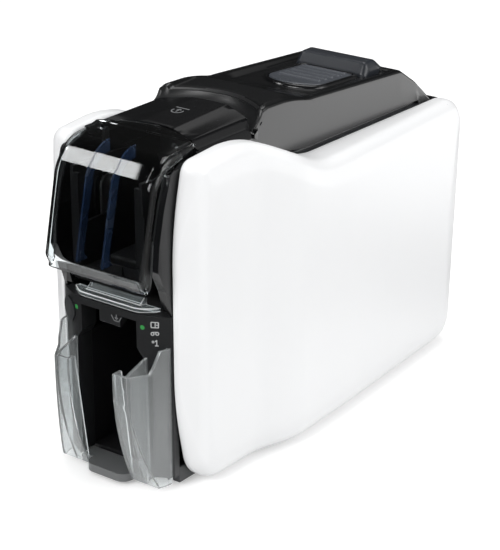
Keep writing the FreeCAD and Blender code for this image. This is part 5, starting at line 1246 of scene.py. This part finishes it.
# Lays a mark on the bezel, whose front is the same at each height: every point goes back by the
# front's depth at its own x, read from rays cast at stations across the mark
def layOnBezel(mesh, height):
    work = bmesh.new()
    work.from_mesh(nodes["front_bezel"].data)
    tree = BVHTree.FromBMesh(work)
    work.free()
    stations = np.linspace(*marks["stations"])
    front = marks["rayStart"]
    hits = [tree.ray_cast(Vector((x, front, height)) * mm, Vector((0, 1, 0)))[0]
            for x in stations]
    found = np.array([hit is not None for hit in hits])
    depths = np.array([hit.y / mm for hit in hits if hit is not None])
    points = readPoints(mesh)
    points[:, 1] += np.interp(points[:, 0], stations[found], depths)
    writePoints(mesh, points)


def makeMarks():
    (x, y), (rearY, rearZ), slope = (marks[key] for key in ("capPlace", "capRear", "capSlope"))
    place = (x, y, rearZ + slope * (y - rearY) + marks["proud"])
    mesh = markMesh("capMark", marks["cap"], place, (1, 0, 0), (0, 1, slope), (0, 0, 1))
    addPiece("capMark", mesh, "inkGrey", "chassis")
    across, up = marks["bezelSize"]
    for name, (height, strokes) in marks["bezel"].items():
        mesh = markMesh(name, strokes, (marks["bezelX"], 0.0, height), (across, 0, 0), (0, 0, up),
                        (0, -1, 0))
        layOnBezel(mesh, height)
        addPiece(name, mesh, "inkWhite", "chassis")
    mesh = markMesh("exitMark", marks["exit"], marks["exitPlace"], (1, 0, 0), (0, 0, 1), (0, -1, 0))
    addPiece("exitMark", mesh, "inkGrey", "chassis")
    print("marks ready")


makeMarks()

# Floor, world and lamps. The floor's painted dark and bright reflections, and the world's cards and
# strip, show only in reflections
stage = {
    "size": 6.0,
    "floorColor": (0.80, 0.80, 0.80, 1),
    "floorRough": 0.9,
    "floorSpecular": 0.1,
    "floorLift": 0.36,
    "floorShine": 0.34,                   # how bright the far floor is in reflections
    "nearFloor": (0.20, 0.32),            # the floor about the printer keeps its own brightness
    "darkReflectionColor": (0.01, 0.01, 0.01, 1),   # painted reflection: away from the printer the floor is dark in reflections only, most on its left
    "darkReflectionFacing": (0.97, 0.24, 0.0),
    "darkReflectionReach": (0.05, 0.30),
    "brightReflection": {"X": (0.10, 0.22), "Y": (0.38, 0.47)},     # painted reflection: a patch of floor behind glows in reflections only
    "brightReflectionLevel": 2.0,
    "worldFill": (0.50, 0.50, 0.50, 1),
    "backdrop": (1, 1, 1, 1),
    "gloom": (0.03, 0.015),               # brightness gained with height, and at the horizon
    # direction, cosine where each card begins and is full, brightness
    "cards": [((-0.10, 0.05, 1.0), (0.80, 0.98), 0.18), ((0.80, 0.45, 0.40), (0.70, 0.97), 0.8),
              ((0.9, -0.3, 0.1), (0.75, 0.98), 0.5), ((-0.44, 0.72, 0.54), (0.977, 0.995), 0.45)],
    "strip": ((-0.62, -0.45, 0.65), (0.990, 0.992), 10.0),
    "stripEdge": (-0.6095, -0.6115),
}


# The floor is pale paper; the camera sees it lifted to white, while reflections find a painted
# dark reflection on its left and a painted bright patch behind
def makeFloor():
    mesh = bpy.data.meshes.new("floor")
    half = stage["size"]
    mesh.from_pydata([(-half, -half, 0), (half, -half, 0), (half, half, 0), (-half, half, 0)], [],
                     [(0, 1, 2, 3)])
    floor = bpy.data.objects.new("floor", mesh)
    bpy.context.scene.collection.objects.link(floor)
    material, tree, shader = newMaterial("floorPaper")
    path = addNode(tree, "ShaderNodeLightPath").outputs
    where = objectPlace(tree)
    away = shareOf(tree, dotWith(tree, where, stage["darkReflectionFacing"]), *stage["darkReflectionReach"])
    around = addNode(tree, "ShaderNodeVectorMath", operation="LENGTH")
    feed(tree, around.inputs[0], where)
    near, far = stage["nearFloor"]
    close = shareOf(tree, around.outputs["Value"], far, near)
    shine = mathNode(tree, "MAXIMUM", product(tree, away, stage["floorShine"]), close)
    turned = mathNode(tree, "SUBTRACT", path["Is Glossy Ray"], straightThrough(tree, path),
                      clamp=True)
    # painted reflection: away from the printer the floor turns dark in reflections only, most of
    # all on its left
    darkReflection = product(tree, mathNode(tree, "SUBTRACT", 1.0, shine), turned)
    bare = mathNode(tree, "SUBTRACT", 1.0, darkReflection)
    seen = mathNode(tree, "MAXIMUM", path["Is Camera Ray"], path["Is Transmission Ray"])
    seen = mathNode(tree, "MAXIMUM", seen, path["Is Glossy Ray"])
    lift = product(tree, seen, stage["floorLift"], bare)
    axes = splitAxes(tree, where)
    # painted reflection: a patch of floor behind the printer glows in reflections only
    brightReflection = product(tree, turned, stage["brightReflectionLevel"])
    for axis, (near, far) in stage["brightReflection"].items():
        brightReflection = product(tree, brightReflection, shareOf(tree, axes[axis], near, far))
    feedNamed(tree, shader, {
        "Base Color": mixColor(tree, bare, stage["darkReflectionColor"], stage["floorColor"]),
        "Roughness": stage["floorRough"], "Specular IOR Level": stage["floorSpecular"],
        "Emission Color": (1, 1, 1, 1), "Emission Strength": mathNode(tree, "ADD", lift, brightReflection)})
    mesh.materials.append(material)


# The world is white to the camera and through glass, grey as light, and dark with cards and a
# strip lamp in reflections; a card grows with the square of its share
def makeWorld():
    world = bpy.data.worlds.new("studio")
    bpy.context.scene.world = world
    world.use_nodes = True
    tree = world.node_tree
    path = addNode(tree, "ShaderNodeLightPath").outputs
    where = addNode(tree, "ShaderNodeTexCoord").outputs["Generated"]
    axes = splitAxes(tree, where)
    glossy = mathNode(tree, "MULTIPLY_ADD", axes["Z"], *stage["gloom"])
    for facing, (near, far), level in stage["cards"]:
        share = shareOf(tree, dotWith(tree, where, Vector(facing).normalized()), near, far)
        glossy = mathNode(tree, "MAXIMUM", glossy, product(tree, share, share, level))
    facing, (near, far), level = stage["strip"]
    inside = shareOf(tree, dotWith(tree, where, Vector(facing).normalized()), near, far)
    before = shareOf(tree, axes["X"], *stage["stripEdge"])
    glossy = mathNode(tree, "MAXIMUM", glossy, product(tree, inside, before, level))
    seen = mathNode(tree, "MAXIMUM", path["Is Camera Ray"], straightThrough(tree, path))
    fill = mixColor(tree, path["Is Glossy Ray"], stage["worldFill"], glossy)
    feedNamed(tree, tree.nodes["Background"].inputs, {
        "Color": mixColor(tree, seen, fill, stage["backdrop"]), "Strength": 1.0})
    world.cycles.sampling_method = "NONE"    # reflections alone find the cards and the strip
    print("stage ready")


makeFloor()
makeWorld()

lamps = {
    "rightBox": {"place": (1.9, 0.3, 1.1), "aim": (0.0, 0.0, 0.12), "size": (1.6, 1.4),
                 "power": 21.5},
    "frontBox": {"place": (-0.2, -2.0, 1.4), "aim": (0.0, -0.1, 0.12), "size": (1.0, 0.8),
                 "power": 24.0},
    "topBox": {"place": (-0.2, 0.3, 2.0), "aim": (0.0, 0.0, 0.1), "size": (1.2, 1.2),
               "power": 16.0},
}
for name, setup in lamps.items():
    data = bpy.data.lights.new(name, "AREA")
    data.shape = "RECTANGLE"
    data.size, data.size_y = setup["size"]
    data.energy = setup["power"]
    lamp = bpy.data.objects.new(name, data)
    lamp.location = setup["place"]
    aim = Vector(setup["aim"]) - Vector(setup["place"])
    lamp.rotation_euler = aim.to_track_quat("-Z", "Y").to_euler()
    bpy.context.scene.collection.objects.link(lamp)
bpy.context.scene.view_settings.view_transform = "Standard"
print("lamps ready")
